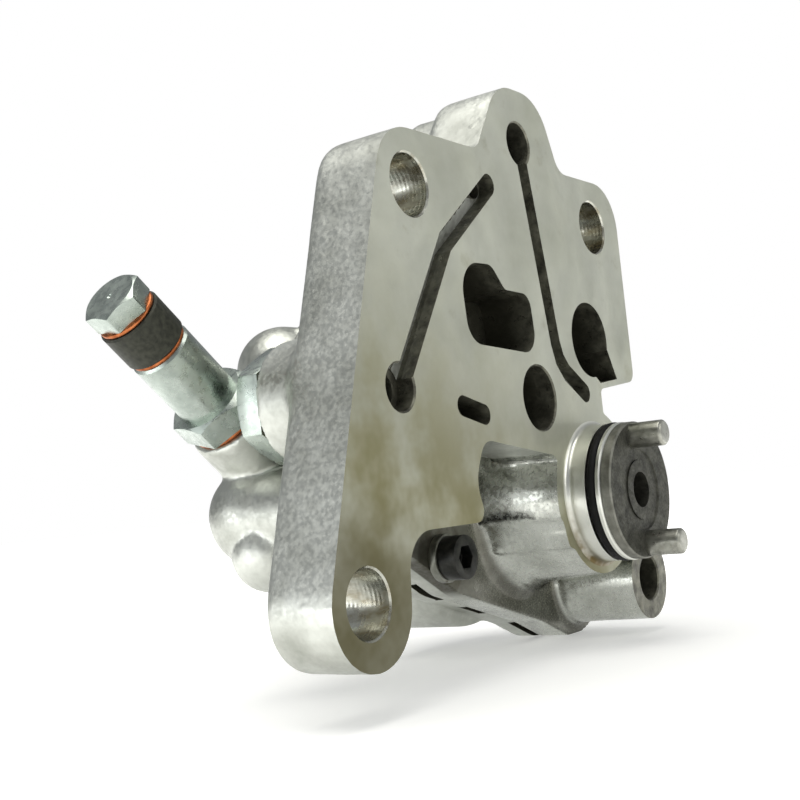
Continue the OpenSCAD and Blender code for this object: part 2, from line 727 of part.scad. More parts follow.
module idler_shaft() {
    color("darkgray") rod(idler, shaft_d, front_bush_y + FIT, pocket_end_y + rear_bush_l - 0.2);
}

module coupling_disc() {
    color("dimgray") difference() {
        union() {
            rod([0, 0], disc_d, disc_face_y, disc_y);
            rod([0, 0], 2 * hub_r, disc_y - 1, hub_y);
        }
        rod([0, 0], shaft_d + 2 * FIT, disc_face_y - CUT, hub_y + CUT);
        cone([0, 0], shaft_d + 1.2, shaft_d, disc_face_y - FIT, disc_face_y + 0.6);
        for (p = drive_pin_points) rod(p, pin_shank_d + 2 * FIT, disc_face_y - CUT, disc_y + CUT);
    }
}

drive_pin_points = [for (s = [1, -1]) s * drive_pin_circle_r * [cos(drive_pin_angle), sin(drive_pin_angle)]];

pin_shank_d = drive_pin_d - 0.6;
pin_neck = 0.4;

module drive_pins() {
    color("lightgray") for (p = drive_pin_points) {
        rod(p, pin_shank_d, disc_face_y - pin_neck - 0.5, disc_y);
        rod(p, drive_pin_d, disc_face_y - drive_pin_out + 0.4, disc_face_y - pin_neck);
        cone(p, drive_pin_d - 0.8, drive_pin_d, disc_face_y - drive_pin_out, disc_face_y - drive_pin_out + 0.4);
    }
}

module relief_piston() {
    color("darkgray") difference() {
        rod(valve, piston_d, valve_seat_y, valve_seat_y + piston_t);
        rod(valve, 6, valve_seat_y + 3, valve_seat_y + piston_t + CUT);
    }
}

module relief_spring() {
    color("gray") translate([valve[0], valve_seat_y + piston_t + FIT, valve[1]]) rotate([-90, 0, 0])
        coil(relief_coil_r, relief_wire_d, plug_bore_end_y - valve_seat_y - piston_t - 2 * FIT, 4);
}

module relief_plug() {
    color("gainsboro") difference() {
        union() {
            translate([valve[0], plug_hex_y, valve[1]]) rotate([-90, 0, 0]) rotate(30) hexagon(plug_af, plug_hex_t);
            rod(valve, plug_thread_d, plug_end_y, plug_hex_y + 1);
        }
        rod(valve, plug_bore_d, plug_end_y - CUT, plug_bore_end_y);
    }
}

module relief_plug_washer() {
    color("peru") ring(valve, plug_af - 0.6, plug_thread_d + 0.3, valve_collar_y, plug_hex_y);
}

module outlet_nipple() {
    color("gainsboro") nipple_frame(copper_t) difference() {
        union() {
            hexagon(nipple_af, nipple_hex_t);
            translate([0, 0, nipple_hex_t - 1]) cylinder(d = nipple_d, h = nipple_len - nipple_hex_t + 1);
        }
        translate([0, 0, -CUT]) cylinder(d = ball_hole_d, h = nipple_len + 1);
        translate([0, 0, ball_floor - copper_t]) cylinder(d = ball_d + 0.4, h = nipple_len);
        translate([0, 0, bolt_end - copper_t - 1]) cylinder(d = banjo_shank_d + 2 * FIT, h = nipple_len);
    }
}

module flat_washer(d_out, d_in) {
    difference() {
        cylinder(d = d_out, h = copper_t);
        translate([0, 0, -CUT]) cylinder(d = d_in, h = copper_t + 2 * CUT);
    }
}

module nipple_washer() {
    color("peru") nipple_frame() flat_washer(nipple_af - 0.4, banjo_shank_d + 0.4);
}

module check_ball() {
    color("lightgray") nipple_frame(ball_at) sphere(d = ball_d);
}

module check_spring() {
    color("gray") nipple_frame(ball_at + ball_d / 2 + FIT) coil(check_coil_r, check_wire_d, bolt_end - ball_at - ball_d / 2 - 2 * FIT, 4);
}

module banjo_bolt() {
    color("gainsboro") nipple_frame() difference() {
        union() {
            translate([0, 0, head_at]) hexagon(banjo_af, banjo_head_t);
            translate([0, 0, bolt_end]) cylinder(d = banjo_shank_d, h = head_at - bolt_end + 1);
        }
        translate([0, 0, bolt_end - CUT]) cylinder(d = 4, h = head_at - bolt_end - 2);
        translate([-banjo_shank_d / 2 - 1, 0, sleeve_at + sleeve_len / 2])
            rotate([0, 90, 0]) cylinder(d = banjo_cross_d, h = banjo_shank_d + 2);
    }
}

module banjo_sleeve() {
    color("dimgray") nipple_frame() translate([0, 0, sleeve_at]) difference() {
        cylinder(d = sleeve_d, h = sleeve_len);
        translate([0, 0, -CUT]) cylinder(d = banjo_shank_d + 0.4, h = sleeve_len + 2 * CUT);
    }
}

module banjo_washers() {
    color("peru") nipple_frame() for (t = [nipple_top, sleeve_top]) translate([0, 0, t]) flat_washer(sleeve_d - 0.8, banjo_shank_d + 0.3);
}

module gallery_plug() {
    color("gray") translate([gallery_x, gallery_plug_y + 0.5, gallery_z]) rotate([-90, 0, 0]) difference() {
        cylinder(d = gallery_plug_d, h = gallery_plug_t);
        translate([0, 0, -CUT]) cylinder(d = gallery_plug_af / cos(30), h = gallery_plug_t / 2, $fn = 6);
    }
}

front_housing();
rear_housing();
housing_seal();
dowel_pins();
housing_screws();
pocket_screw();
pocket_washer();
spigot_ring();
outer_shaft_seal();
inner_shaft_seal();
seal_circlip();
front_shaft_bush();
rear_shaft_bush();
drive_shaft();
drive_key();
drive_gear();
coupling_disc();
drive_pins();
idler_shaft();
idler_bush();
driven_gear();
relief_piston();
relief_spring();
relief_plug();
relief_plug_washer();
outlet_nipple();
nipple_washer();
check_ball();
check_spring();
banjo_bolt();
banjo_sleeve();
banjo_washers();
gallery_plug();
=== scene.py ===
"""Dresses a flange-mounted gear pump with cast, milled, turned and plated finishes, in a plain studio."""

import logging
import math
from collections.abc import Callable, Mapping, Sequence
from dataclasses import dataclass
from enum import Enum, IntEnum
from typing import Any

import bmesh
import bpy
import numpy as np
from mathutils import Matrix, Vector


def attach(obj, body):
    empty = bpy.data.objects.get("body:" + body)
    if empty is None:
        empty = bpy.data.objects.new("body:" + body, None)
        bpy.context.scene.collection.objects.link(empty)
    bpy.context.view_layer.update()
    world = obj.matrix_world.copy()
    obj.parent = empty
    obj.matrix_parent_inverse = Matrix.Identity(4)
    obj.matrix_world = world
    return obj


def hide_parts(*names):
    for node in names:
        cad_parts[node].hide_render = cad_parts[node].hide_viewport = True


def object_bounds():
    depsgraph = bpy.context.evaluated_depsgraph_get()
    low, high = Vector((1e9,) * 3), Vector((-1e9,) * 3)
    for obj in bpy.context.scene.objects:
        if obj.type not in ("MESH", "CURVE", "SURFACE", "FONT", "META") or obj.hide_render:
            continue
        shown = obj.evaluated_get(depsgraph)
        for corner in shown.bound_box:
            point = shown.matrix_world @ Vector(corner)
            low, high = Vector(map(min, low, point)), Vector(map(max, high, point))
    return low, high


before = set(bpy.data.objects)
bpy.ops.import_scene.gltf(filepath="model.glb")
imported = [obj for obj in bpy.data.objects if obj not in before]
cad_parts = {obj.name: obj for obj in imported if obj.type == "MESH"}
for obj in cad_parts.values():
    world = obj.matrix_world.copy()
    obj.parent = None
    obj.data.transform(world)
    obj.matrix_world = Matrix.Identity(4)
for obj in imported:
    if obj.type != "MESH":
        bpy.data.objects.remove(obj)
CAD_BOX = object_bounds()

LOG = logging.getLogger("pump")
MM = 0.001
# Factor on the size of tool rings, which sets how far apart they lie
RING_FACTOR = 6.28
# Half width of a cutter that is wider than the pump
WIDE = 200.0

Point = tuple[float, float]
Spot = tuple[float, float, float]
Thing = bpy.types.Object
Material = bpy.types.Material
Socket = bpy.types.NodeSocket

# Places that several pieces share, in millimetres on the frame's axes
IDLER: Point = (-23.658, 23.006)
BOSS: Point = (23.2, -22.7)
BOSS_HOLE_R = 5.45
JOINT_Y = 30.0
NIPPLE_FOOT: Spot = (-80.0, 44.0, 23.9)
NIPPLE_TILT = math.radians(39.0)
NIPPLE_AXIS: Spot = (-math.cos(NIPPLE_TILT), 0.0, math.sin(NIPPLE_TILT))


class Slot(Enum):
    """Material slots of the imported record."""

    CAST = "cast_alloy"
    ZINC = "zinc_steel"
    BRIGHT = "bright_steel"
    SINTERED = "sintered_steel"
    BLACK = "black_steel"
    COPPER = "copper"
    RUBBER = "rubber"
    SLEEVE = "dark_sleeve"


class Body(Enum):
    """Moving bodies that the dressed pieces ride on."""

    HOUSING = "housing"
    ROTOR = "drive_rotor"


class Skin(IntEnum):
    """Numbers of the front casting's finishes on its faces."""

    CAST = 0
    MILLED = 1
    BORED = 2
    # Oil film, with painted shade deeper in the hollows
    OILED_SHADED = 3


# Colour and shader helpers


def linear(code: str) -> tuple[float, float, float, float]:
    """Turns an sRGB hex colour into linear light.

    Args:
        code: Colour such as "a0a296".

    Returns:
        Red, green, blue and an alpha of 1.
    """
    parts = [int(code[i:i + 2], 16) / 255 for i in (0, 2, 4)]
    red, green, blue = [c / 12.92 if c <= 0.04045 else ((c + 0.055) / 1.055) ** 2.4 for c in parts]
    return (red, green, blue, 1.0)


def add_node(
    tree: bpy.types.NodeTree,
    kind: str,
    settings: Mapping[Any, Any] | None = None,
    links: Mapping[Any, Socket] | None = None,
) -> bpy.types.Node:
    """Adds one node with its settings and incoming links.

    Args:
        tree: Node tree that gets the node.
        kind: Node class name.
        settings: Input names, input numbers or properties, with their values.
        links: Input names or numbers, with the sockets that feed them.

    Returns:
        The new node.
    """
    node = tree.nodes.new(kind)
    for key, value in (settings or {}).items():
        if isinstance(key, int) or key in node.inputs:
            node.inputs[key].default_value = value
        else:
            setattr(node, key, value)
    for key, socket in (links or {}).items():
        tree.links.new(socket, node.inputs[key])
    return node


class Paint:
    """A material in the making: its node tree, its shader and the patterns that feed it."""

    def __init__(self, name: str, metallic: float = 0.0) -> None:
        """Starts a material with one Principled shader."""
        self.material = bpy.data.materials.new(name)
        self.material.use_nodes = True
        self.tree = self.material.node_tree
        self.tree.nodes.clear()
        self.shader = self.add("ShaderNodeBsdfPrincipled", {"Metallic": metallic})
        self.add("ShaderNodeOutputMaterial", links={"Surface": self.shader.outputs["BSDF"]})

    def add(
        self,
        kind: str,
        settings: Mapping[Any, Any] | None = None,
        links: Mapping[Any, Socket] | None = None,
    ) -> bpy.types.Node:
        """Adds one node to the material."""
        return add_node(self.tree, kind, settings, links)

    def feed(self, name: str, value: Socket) -> None:
        """Links a value to an input of the shader."""
        self.tree.links.new(value, self.shader.inputs[name])

    def mark(self, name: str) -> Socket:
        """Reads an amount that the mesh holds for each point."""
        return self.add("ShaderNodeAttribute", {"attribute_name": name}).outputs["Fac"]

    def where(self) -> Socket:
        """Gives the place on the surface, in metres."""
        return self.add("ShaderNodeTexCoord").outputs["Object"]

    def along(self, axis: str) -> Socket:
        """Gives the place along one axis, in metres."""
        return self.add("ShaderNodeSeparateXYZ", links={"Vector": self.where()}).outputs[axis]

    def place(self, size_mm: float, stretch: Sequence[float] = (1, 1, 1)) -> Socket:
        """Gives pattern coordinates in which one unit is a length in millimetres.

        Args:
            size_mm: Length of one unit of the pattern.
            stretch: Factors on the three axes.

        Returns:
            The coordinate socket.
        """
        scale = [s / (size_mm * MM) for s in stretch]
        return self.add("ShaderNodeMapping", {"Scale": scale}, {"Vector": self.where()}).outputs["Vector"]

    def noise(self, size_mm: float, detail: float = 3.0, stretch: Sequence[float] = (1, 1, 1)) -> Socket:
        """Adds a noise pattern of a given size."""
        settings = {"Scale": 1.0, "Detail": detail, "Roughness": 0.6}
        links = {"Vector": self.place(size_mm, stretch)}
        return self.add("ShaderNodeTexNoise", settings, links).outputs["Fac"]

    def rings(self, size_mm: float, distortion: float) -> Socket:
        """Adds the rings that a tool leaves about the Y axis."""
        settings = {"bands_direction": "Y", "Scale": 1.0, "Distortion": distortion}
        links = {"Vector": self.place(size_mm * RING_FACTOR)}
        return self.add("ShaderNodeTexWave", settings, links).outputs["Fac"]

    def ramp(self, value: Socket, low: float, first: str, high: float, second: str) -> Socket:
        """Runs from one sRGB hex colour to another between two values."""
        made = self.add("ShaderNodeValToRGB", links={"Fac": value})
        for element, position, code in zip(made.color_ramp.elements, (low, high), (first, second)):
            element.position = position
            element.color = linear(code)
        return made.outputs["Color"]

    def span(self, value: Socket, low: float, high: float, out_low: float, out_high: float) -> Socket:
        """Maps a range of a value smoothly to another range."""
        settings = {"interpolation_type": "SMOOTHSTEP", "From Min": low, "From Max": high}
        settings |= {"To Min": out_low, "To Max": out_high}
        return self.add("ShaderNodeMapRange", settings, {"Value": value}).outputs["Result"]

    def blend(self, factor: Socket, first: Socket | str, second: Socket | str) -> Socket:
        """Mixes two colours, each a socket or an sRGB hex code."""
        made = self.add("ShaderNodeMix", {"data_type": "RGBA"}, {0: factor})
        for number, colour in ((6, first), (7, second)):
            if isinstance(colour, str):
                made.inputs[number].default_value = linear(colour)
            else:
                self.tree.links.new(colour, made.inputs[number])
        return made.outputs[2]

    def math(self, operation: str, first: Socket | float, second: Socket | float) -> Socket:
        """Adds one arithmetic step."""
        made = self.add("ShaderNodeMath", {"operation": operation})
        for number, value in enumerate((first, second)):
            if isinstance(value, (int, float)):
                made.inputs[number].default_value = value
            else:
                self.tree.links.new(value, made.inputs[number])
        return made.outputs[0]

    def times(self, first: Socket | float, second: Socket | float) -> Socket:
        """Multiplies two values."""
        return self.math("MULTIPLY", first, second)

    def rough(self, size_mm: float, detail: float, low: float, high: float) -> None:
        """Lets the roughness wander between two values."""
        self.feed("Roughness", self.span(self.noise(size_mm, detail), 0.3, 0.7, low, high))

    def bump(self, *layers: tuple[Socket, float, float]) -> None:
        """Stacks bump layers, each of a height socket, a depth in millimetres and a strength."""
        links: dict[str, Socket] = {}
        for height, depth, strength in layers:
            links["Height"] = height
            node = self.add("ShaderNodeBump", {"Distance": depth * MM, "Strength": strength}, links)
            links["Normal"] = node.outputs["Normal"]
        self.feed("Normal", links["Normal"])


# Finishes


@dataclass(frozen=True)
class CastAluminium:
    """Gravity-cast aluminium alloy, shot blasted: pale grey with a pebbled skin that sparkles."""

    name: str = "cast_aluminium"
    pale: str = "d0d2cb"
    deep: str = "a6a8a0"
    dirt_and_shade_tone: str = "514f45"
    patch_mm: float = 14.0
    dirt_and_shade_mm: float = 9.0
    grain_mm: float = 1.0
    dent_mm: float = 2.4
    field_mm: float = 20.0
    swell_mm: float = 8.0
    roughness: float = 0.4
    calm_roughness: float = 0.22

    def build(self) -> Material:
        """Builds the material."""
        paint = Paint(self.name, 1.0)
        base = paint.ramp(paint.noise(self.patch_mm, 5.0), 0.32, self.deep, 0.62, self.pale)
        calm = paint.mark("calm")
        # Painted shade with oily dirt: darkens the bay floor and the screw's seat, where shade falls
        uneven = paint.span(paint.noise(self.dirt_and_shade_mm, 4.0), 0.2, 0.6, 0.75, 1.0)
        paint.feed("Base Color", paint.blend(paint.times(paint.mark("dirt_and_shade"), uneven), base, self.dirt_and_shade_tone))
        grain = paint.noise(self.grain_mm, 1.0)
        calmed = paint.times(calm, self.calm_roughness - self.roughness)
        speckled = paint.span(grain, 0.3, 0.7, self.roughness - 0.04, self.roughness + 0.1)
        paint.feed("Roughness", paint.math("ADD", speckled, calmed))
        dents = paint.span(paint.noise(self.dent_mm, 1.0), 0.4, 0.75, 0.0, 1.0)
        fields = paint.span(paint.noise(self.field_mm, 2.0), 0.4, 0.64, 0.15, 1.0)
        rough_places = paint.times(fields, paint.math("SUBTRACT", 1.0, calm))
        swell = paint.noise(self.swell_mm, 2.0)
        paint.bump((swell, 0.4, 0.22), (paint.times(dents, rough_places), 0.2, 0.3), (grain, 0.03, 0.25))
        return paint.material


@dataclass(frozen=True)
class MilledAluminium:
    """Face-milled aluminium alloy: flat grey-green sheen with faint cutter arcs and olive oil stains."""

    name: str = "milled_aluminium"
    clean: str = "c6c8bb"
    dull: str = "b5b7a8"
    olive: str = "807c5b"
    deep_olive: str = "4d4934"
    cutter_mm: float = 0.8
    roughness: float = 0.4

    def build(self) -> Material:
        """Builds the material."""
        paint = Paint(self.name, 0.85)
        base = paint.ramp(paint.noise(22.0, 5.0), 0.34, self.dull, 0.6, self.clean)
        leaning = paint.math("ADD", paint.along("Z"), paint.times(paint.along("X"), 0.4))
        lower = paint.span(leaning, 0.034, -0.03, 0.0, 1.0)
        mottled = paint.times(lower, paint.span(paint.noise(24.0, 4.0), 0.3, 0.65, 0.3, 1.0))
        spots = paint.span(paint.noise(11.0, 5.0), 0.54, 0.72, 0.0, 0.4)
        stained = paint.blend(paint.math("MAXIMUM", mottled, spots), base, self.olive)
        corner = paint.span(leaning, -0.026, -0.05, 0.0, 0.7)
        paint.feed("Base Color", paint.blend(corner, stained, self.deep_olive))
        paint.rough(12.0, 4.0, self.roughness - 0.07, self.roughness + 0.12)
        settings = {"wave_type": "RINGS", "rings_direction": "Y", "Scale": 1.0}
        settings |= {"Distortion": 1.5, "Detail": 2.0}
        arcs = paint.add("ShaderNodeTexWave", settings, {"Vector": paint.place(self.cutter_mm)})
        paint.bump((paint.noise(2.5, 4.0), 0.05, 0.3), (arcs.outputs["Fac"], 0.01, 0.25))
        return paint.material


@dataclass(frozen=True)
class BoredAluminium:
    """Bored aluminium alloy: ringed by the tool, darker and brown with old oil."""

    name: str = "bored_aluminium"
    clean: str = "c2c3b9"
    oiled: str = "8d8672"
    ring_mm: float = 0.5
    roughness: float = 0.24

    def build(self) -> Material:
        """Builds the material."""
        paint = Paint(self.name, 0.95)
        streaks = paint.noise(4.0, 4.0, (1.0, 0.35, 1.0))
        paint.feed("Base Color", paint.ramp(streaks, 0.36, self.oiled, 0.56, self.clean))
        paint.rough(3.0, 3.0, self.roughness - 0.08, self.roughness + 0.14)
        paint.bump((paint.rings(self.ring_mm, 0.3), 0.03, 0.4))
        return paint.material


@dataclass(frozen=True)
class OiledShadedAluminium:
    """Cast and milled walls of ports and grooves under a film of old oil: olive, with painted shade and oil
    sludge darker toward the bottom.
    """

    name: str = "oiled_shaded_aluminium"
    dark: str = "4a4940"
    worn: str = "8a897a"
    shade_and_sludge: str = "46453b"
    shade_and_sludge_depth_m: float = 0.008
    pebble_mm: float = 1.5

    def build(self) -> Material:
        """Builds the material."""
        paint = Paint(self.name, 0.6)
        base = paint.ramp(paint.noise(3.0, 4.0), 0.34, self.dark, 0.7, self.worn)
        # Painted shade with oil sludge: darker the deeper a point lies along Y
        deep = paint.span(paint.along("Y"), 0.0, self.shade_and_sludge_depth_m, 0.0, 0.92)
        paint.feed("Base Color", paint.blend(deep, base, self.shade_and_sludge))
        paint.rough(2.5, 3.0, 0.26, 0.5)
        paint.bump((paint.noise(self.pebble_mm, 3.0), 0.3, 0.5), (paint.noise(0.5, 2.0), 0.06, 0.4))
        return paint.material


@dataclass(frozen=True)
class TurnedSpigot:
    """Turned aluminium alloy: bright bands round the axis, tea-brown where fuel dried at the root."""

    name: str = "turned_aluminium"
    bright: str = "e2e3db"
    brown: str = "6b5c38"
    ring_mm: float = 0.35

    def build(self) -> Material:
        """Builds the material."""
        paint = Paint(self.name, 1.0)
        root = paint.span(paint.along("Y"), -0.0028, -0.0004, 0.0, 1.0)
        low = paint.span(paint.along("Z"), 0.002, -0.012, 0.12, 1.0)
        patches = paint.span(paint.noise(9.0, 4.0), 0.3, 0.6, 0.3, 1.0)
        stain = paint.times(paint.times(root, low), patches)
        paint.feed("Base Color", paint.blend(stain, self.bright, self.brown))
        paint.rough(4.0, 3.0, 0.28, 0.4)
        paint.bump((paint.rings(self.ring_mm, 0.2), 0.012, 0.25), (paint.noise(0.6, 2.0), 0.02, 0.3))
        return paint.material


@dataclass(frozen=True)
class PlatedSteel:
    """Turned steel with clear-passivated zinc: cool silver-green with a soft mirror."""

    name: str = "zinc_plated_steel"
    bright: str = "b6bfb7"
    dull: str = "99a29b"
    roughness: float = 0.28
    brown: str = "7c6f54"
    most_brown: float = 0.32

    def build(self) -> Material:
        """Builds the material."""
        paint = Paint(self.name, 1.0)
        base = paint.ramp(paint.noise(6.0, 4.0), 0.32, self.dull, 0.6, self.bright)
        dirt = paint.span(paint.noise(3.5, 5.0), 0.6, 0.75, 0.0, self.most_brown)
        paint.feed("Base Color", paint.blend(dirt, base, self.brown))
        paint.rough(1.6, 4.0, self.roughness - 0.06, self.roughness + 0.12)
        paint.bump((paint.noise(1.8, 4.0), 0.05, 0.35), (paint.noise(0.35, 2.0), 0.02, 0.3))
        return paint.material


@dataclass(frozen=True)
class SinteredSteel:
    """Pressed and sintered steel, oiled: dark and fine-grained with pores and polished high spots."""

    name: str = "sintered_steel"
    dark: str = "3a3a35"
    worn: str = "5e5e56"
    grain_mm: float = 0.5

    def build(self) -> Material:
        """Builds the material."""
        paint = Paint(self.name, 0.9)
        paint.feed("Base Color", paint.ramp(paint.noise(3.0, 6.0), 0.36, self.dark, 0.68, self.worn))
        paint.rough(self.grain_mm, 3.0, 0.46, 0.72)
        pores = paint.add("ShaderNodeTexVoronoi", {"Scale": 1.0}, {"Vector": paint.place(self.grain_mm)})
        paint.bump((paint.noise(self.grain_mm, 4.0), 0.08, 0.5), (pores.outputs["Distance"], 0.06, 0.3))
        return paint.material


@dataclass(frozen=True)
class GroundSteel:
    """Ground steel, lightly oiled: grey with fine rings and a clear sheen."""

    name: str = "ground_steel"
    bright: str = "a9a9a0"
    dull: str = "8f8f86"
    roughness: float = 0.38

    def build(self) -> Material:
        """Builds the material."""
        paint = Paint(self.name, 1.0)
        paint.feed("Base Color", paint.ramp(paint.noise(3.0, 5.0), 0.32, self.dull, 0.64, self.bright))
        paint.rough(2.0, 3.0, self.roughness - 0.07, self.roughness + 0.12)
        paint.bump((paint.noise(0.5, 2.0, (1, 6, 1)), 0.02, 0.35))
        return paint.material


@dataclass(frozen=True)
class PlainFinish:
    """A finish of one base with a fine mottle: black oxide, copper, bronze, rubber or a dark sleeve."""

    name: str
    first: str
    second: str
    metallic: float
    roughness: float
    patch_mm: float
    grain_mm: float
    grain_depth: float
    specular: float = 0.5

    def build(self) -> Material:
        """Builds the material."""
        paint = Paint(self.name, self.metallic)
        paint.shader.inputs["Specular IOR Level"].default_value = self.specular
        patches = paint.noise(self.patch_mm, 4.0)
        paint.feed("Base Color", paint.ramp(patches, 0.35, self.first, 0.66, self.second))
        paint.rough(self.patch_mm / 2, 3.0, self.roughness - 0.08, self.roughness + 0.1)
        paint.bump((paint.noise(self.grain_mm, 3.0), self.grain_depth, 0.5))
        return paint.material


FINISHES = {
    "cast": CastAluminium(),
    "milled": MilledAluminium(),
    "bored": BoredAluminium(),
    # Old oil, with painted shade deeper in ports, grooves, bores and notches
    "oiled": OiledShadedAluminium(),
    "turned": TurnedSpigot(),
    "zinc": PlatedSteel(),
    "sintered": SinteredSteel(),
    "ground": GroundSteel(),
    "pin": GroundSteel("ground_pin_steel", "b2b2a9", "7d7d74", 0.33),
    "rim": GroundSteel("dull_rim_steel", "8f8f87", "6f6f67", 0.48),
    "grimy": PlatedSteel("grimy_zinc_steel", "8b8c84", "5c5c54", 0.38, "4a4536", 0.8),
    # Near black and oily, with a soft highlight
    "black": PlainFinish("black_oxide_steel", "1b1c1b", "3a3a36", 0.8, 0.36, 3.0, 0.4, 0.03),
    # Orange brown, darkened where it was crushed
    "copper": PlainFinish("annealed_copper", "7a3f22", "c0764a", 1.0, 0.34, 2.5, 0.5, 0.03),
    # Warm and finely porous
    "bronze": PlainFinish("sintered_bronze", "7d6338", "ab8a4f", 1.0, 0.42, 3.0, 0.4, 0.03),
    # Black, with a film of oil
    "rubber": PlainFinish("nitrile_rubber", "050505", "0d0d0c", 0.0, 0.6, 4.0, 0.5, 0.02, 0.22),
    # Dark grey-green and matt, with a fine crystalline grain
    "sleeve": PlainFinish("phosphated_sleeve", "2b2c25", "45463c", 0.5, 0.56, 0.9, 0.5, 0.06),
}


# Mesh helpers; all lengths are in millimetres until a piece is finished


def arc(centre: Point, radius: float, first: float, sweep: float, steps: int) -> list[Point]:
    """Gives points of an arc from its first angle over a sweep, with both ends."""
    angles = [first + sweep * k / steps for k in range(steps + 1)]
    return [(centre[0] + radius * math.cos(a), centre[1] + radius * math.sin(a)) for a in angles]


def soften(corners: Sequence[Point], radius: float, steps: int = 3) -> list[Point]:
    """Rounds the corners of a closed outline.

    Args:
        corners: Corner points in order.
        radius: Radius of the rounding, made smaller on short sides.
        steps: Segments of each rounding.

    Returns:
        The points of the rounded outline.
    """
    points: list[Point] = []
    count = len(corners)
    for i, (x, y) in enumerate(corners):
        corner = Vector((x, y))
        back = Vector(corners[i - 1]) - corner
        ahead = Vector(corners[(i + 1) % count]) - corner
        reach = min(radius, back.length * 0.45, ahead.length * 0.45)
        start = corner + back.normalized() * reach
        end = corner + ahead.normalized() * reach
        for k in range(steps + 1):
            t = k / steps
            spot = start * (1 - t) ** 2 + corner * 2 * t * (1 - t) + end * t ** 2
            points.append((spot.x, spot.y))
    return points


def add_thing(name: str, mesh: bpy.types.Mesh) -> Thing:
    """Puts a mesh into the scene as an object."""
    made = bpy.data.objects.new(name, mesh)
    bpy.context.scene.collection.objects.link(made)
    return made


def mesh_object(name: str, vertices: Sequence[Sequence[float]], faces: Sequence[Sequence[int]]) -> Thing:
    """Makes a closed mesh object from millimetre points and turns its faces outwards."""
    mesh = bpy.data.meshes.new(name)
    mesh.from_pydata([tuple(v) for v in vertices], [], [tuple(f) for f in faces])
    work = bmesh.new()
    work.from_mesh(mesh)
    bmesh.ops.remove_doubles(work, verts=work.verts, dist=1e-5)
    bmesh.ops.recalc_face_normals(work, faces=work.faces)
    work.to_mesh(mesh)
    work.free()
    return add_thing(name, mesh)


def lathe(
    name: str,
    profile: Sequence[Point],
    origin: Spot = (0, 0, 0),
    axis: Spot = (0, 1, 0),
    segments: int = 96,
) -> Thing:
    """Turns a closed outline of radius and distance about an axis.

    Args:
        name: Name of the object.
        profile: Radius and distance along the axis of each corner.
        origin: Point where the distance is 0.
        axis: Direction of the axis.
        segments: Steps round the axis.

    Returns:
        The turned solid.
    """
    turn = Vector((0, 0, 1)).rotation_difference(Vector(axis).normalized()).to_matrix()
    start = Vector(origin)
    rings: list[list[int]] = []
    vertices: list[Vector] = []
    for radius, along in profile:
        if radius < 1e-6:
            vertices.append(start + turn @ Vector((0, 0, along)))
            rings.append([len(vertices) - 1] * segments)
            continue
        rings.append(list(range(len(vertices), len(vertices) + segments)))
        for k in range(segments):
            angle = 2 * math.pi * k / segments
            spot = Vector((radius * math.cos(angle), radius * math.sin(angle), along))
            vertices.append(start + turn @ spot)
    faces = []
    for i, ring in enumerate(rings):
        after = rings[(i + 1) % len(rings)]
        for k in range(segments):
            quad = [ring[k], ring[(k + 1) % segments], after[(k + 1) % segments], after[k]]
            corners = list(dict.fromkeys(quad))
            if len(corners) > 2:
                faces.append(corners)
    return mesh_object(name, vertices, faces)


def drum(
    name: str,
    radius: float,
    start: float,
    end: float,
    origin: Spot = (0, 0, 0),
    axis: Spot = (0, 1, 0),
    segments: int = 96,
) -> Thing:
    """Makes a cylinder between two distances along its axis."""
    return lathe(name, [(0, start), (radius, start), (radius, end), (0, end)], origin, axis, segments)


def prism(name: str, outline: Sequence[Point], start: float, end: float, shift: Point = (0.0, 0.0)) -> Thing:
    """Makes a solid of an outline in X and Z between two distances along Y.

    Args:
        name: Name of the object.
        outline: Corners of the outline at the start.
        start: Distance where the solid starts.
        end: Distance where it ends.
        shift: Move of the outline on the way to the end.

    Returns:
        The solid.
    """
    count = len(outline)
    vertices = [(x, start, z) for x, z in outline] + [(x + shift[0], end, z + shift[1]) for x, z in outline]
    faces = [list(range(count)), list(range(2 * count - 1, count - 1, -1))]
    faces += [[k, (k + 1) % count, count + (k + 1) % count, count + k] for k in range(count)]
    return mesh_object(name, vertices, faces)


def block(name: str, start: float, end: float) -> Thing:
    """Makes a cutter across the whole pump between two distances along Y."""
    return prism(name, [(-WIDE, -WIDE), (WIDE, -WIDE), (WIDE, WIDE), (-WIDE, WIDE)], start, end)


def slot_outline(points: Sequence[Point], width: float, steps: int = 14) -> list[Point]:
    """Gives the outline of a slot of one width along a path, with round ends."""
    path = [Vector(p) for p in points]
    runs = [(b - a).normalized() for a, b in zip(path, path[1:])]
    sides = []
    for i in range(len(path)):
        before = runs[max(i - 1, 0)]
        after = runs[min(i, len(runs) - 1)]
        left, right = Vector((-before.y, before.x)), Vector((-after.y, after.x))
        sides.append((left + right) / (1 + left.dot(right)))
    half = width / 2

    def turn(centre: Vector, side: Vector) -> list[Point]:
        """Half a turn clockwise from a side of the path."""
        return arc(tuple(centre), half, math.atan2(side.y, side.x), -math.pi, steps)

    out = [tuple(path[i] + sides[i] * half) for i in range(1, len(path) - 1)]
    out += turn(path[-1], sides[-1])
    out += [tuple(path[i] - sides[i] * half) for i in range(len(path) - 2, 0, -1)]
    out += turn(path[0], -sides[0])
    return out


def settle(target: Thing) -> None:
    """Applies the modifiers of an object to its mesh."""
    graph = bpy.context.evaluated_depsgraph_get()
    mesh = bpy.data.meshes.new_from_object(target.evaluated_get(graph), depsgraph=graph)
    old = target.data
    target.modifiers.clear()
    target.data = mesh
    bpy.data.meshes.remove(old)


def modify(target: Thing, kind: str, settings: Mapping[str, Any]) -> None:
    """Adds a modifier with its settings and applies it."""
    step = target.modifiers.new(kind.lower(), kind)
    for key, value in settings.items():
        setattr(step, key, value)
    settle(target)


def drop(thing: Thing) -> None:
    """Deletes a helper object and its mesh."""
    mesh = thing.data
    bpy.data.objects.remove(thing)
    bpy.data.meshes.remove(mesh)


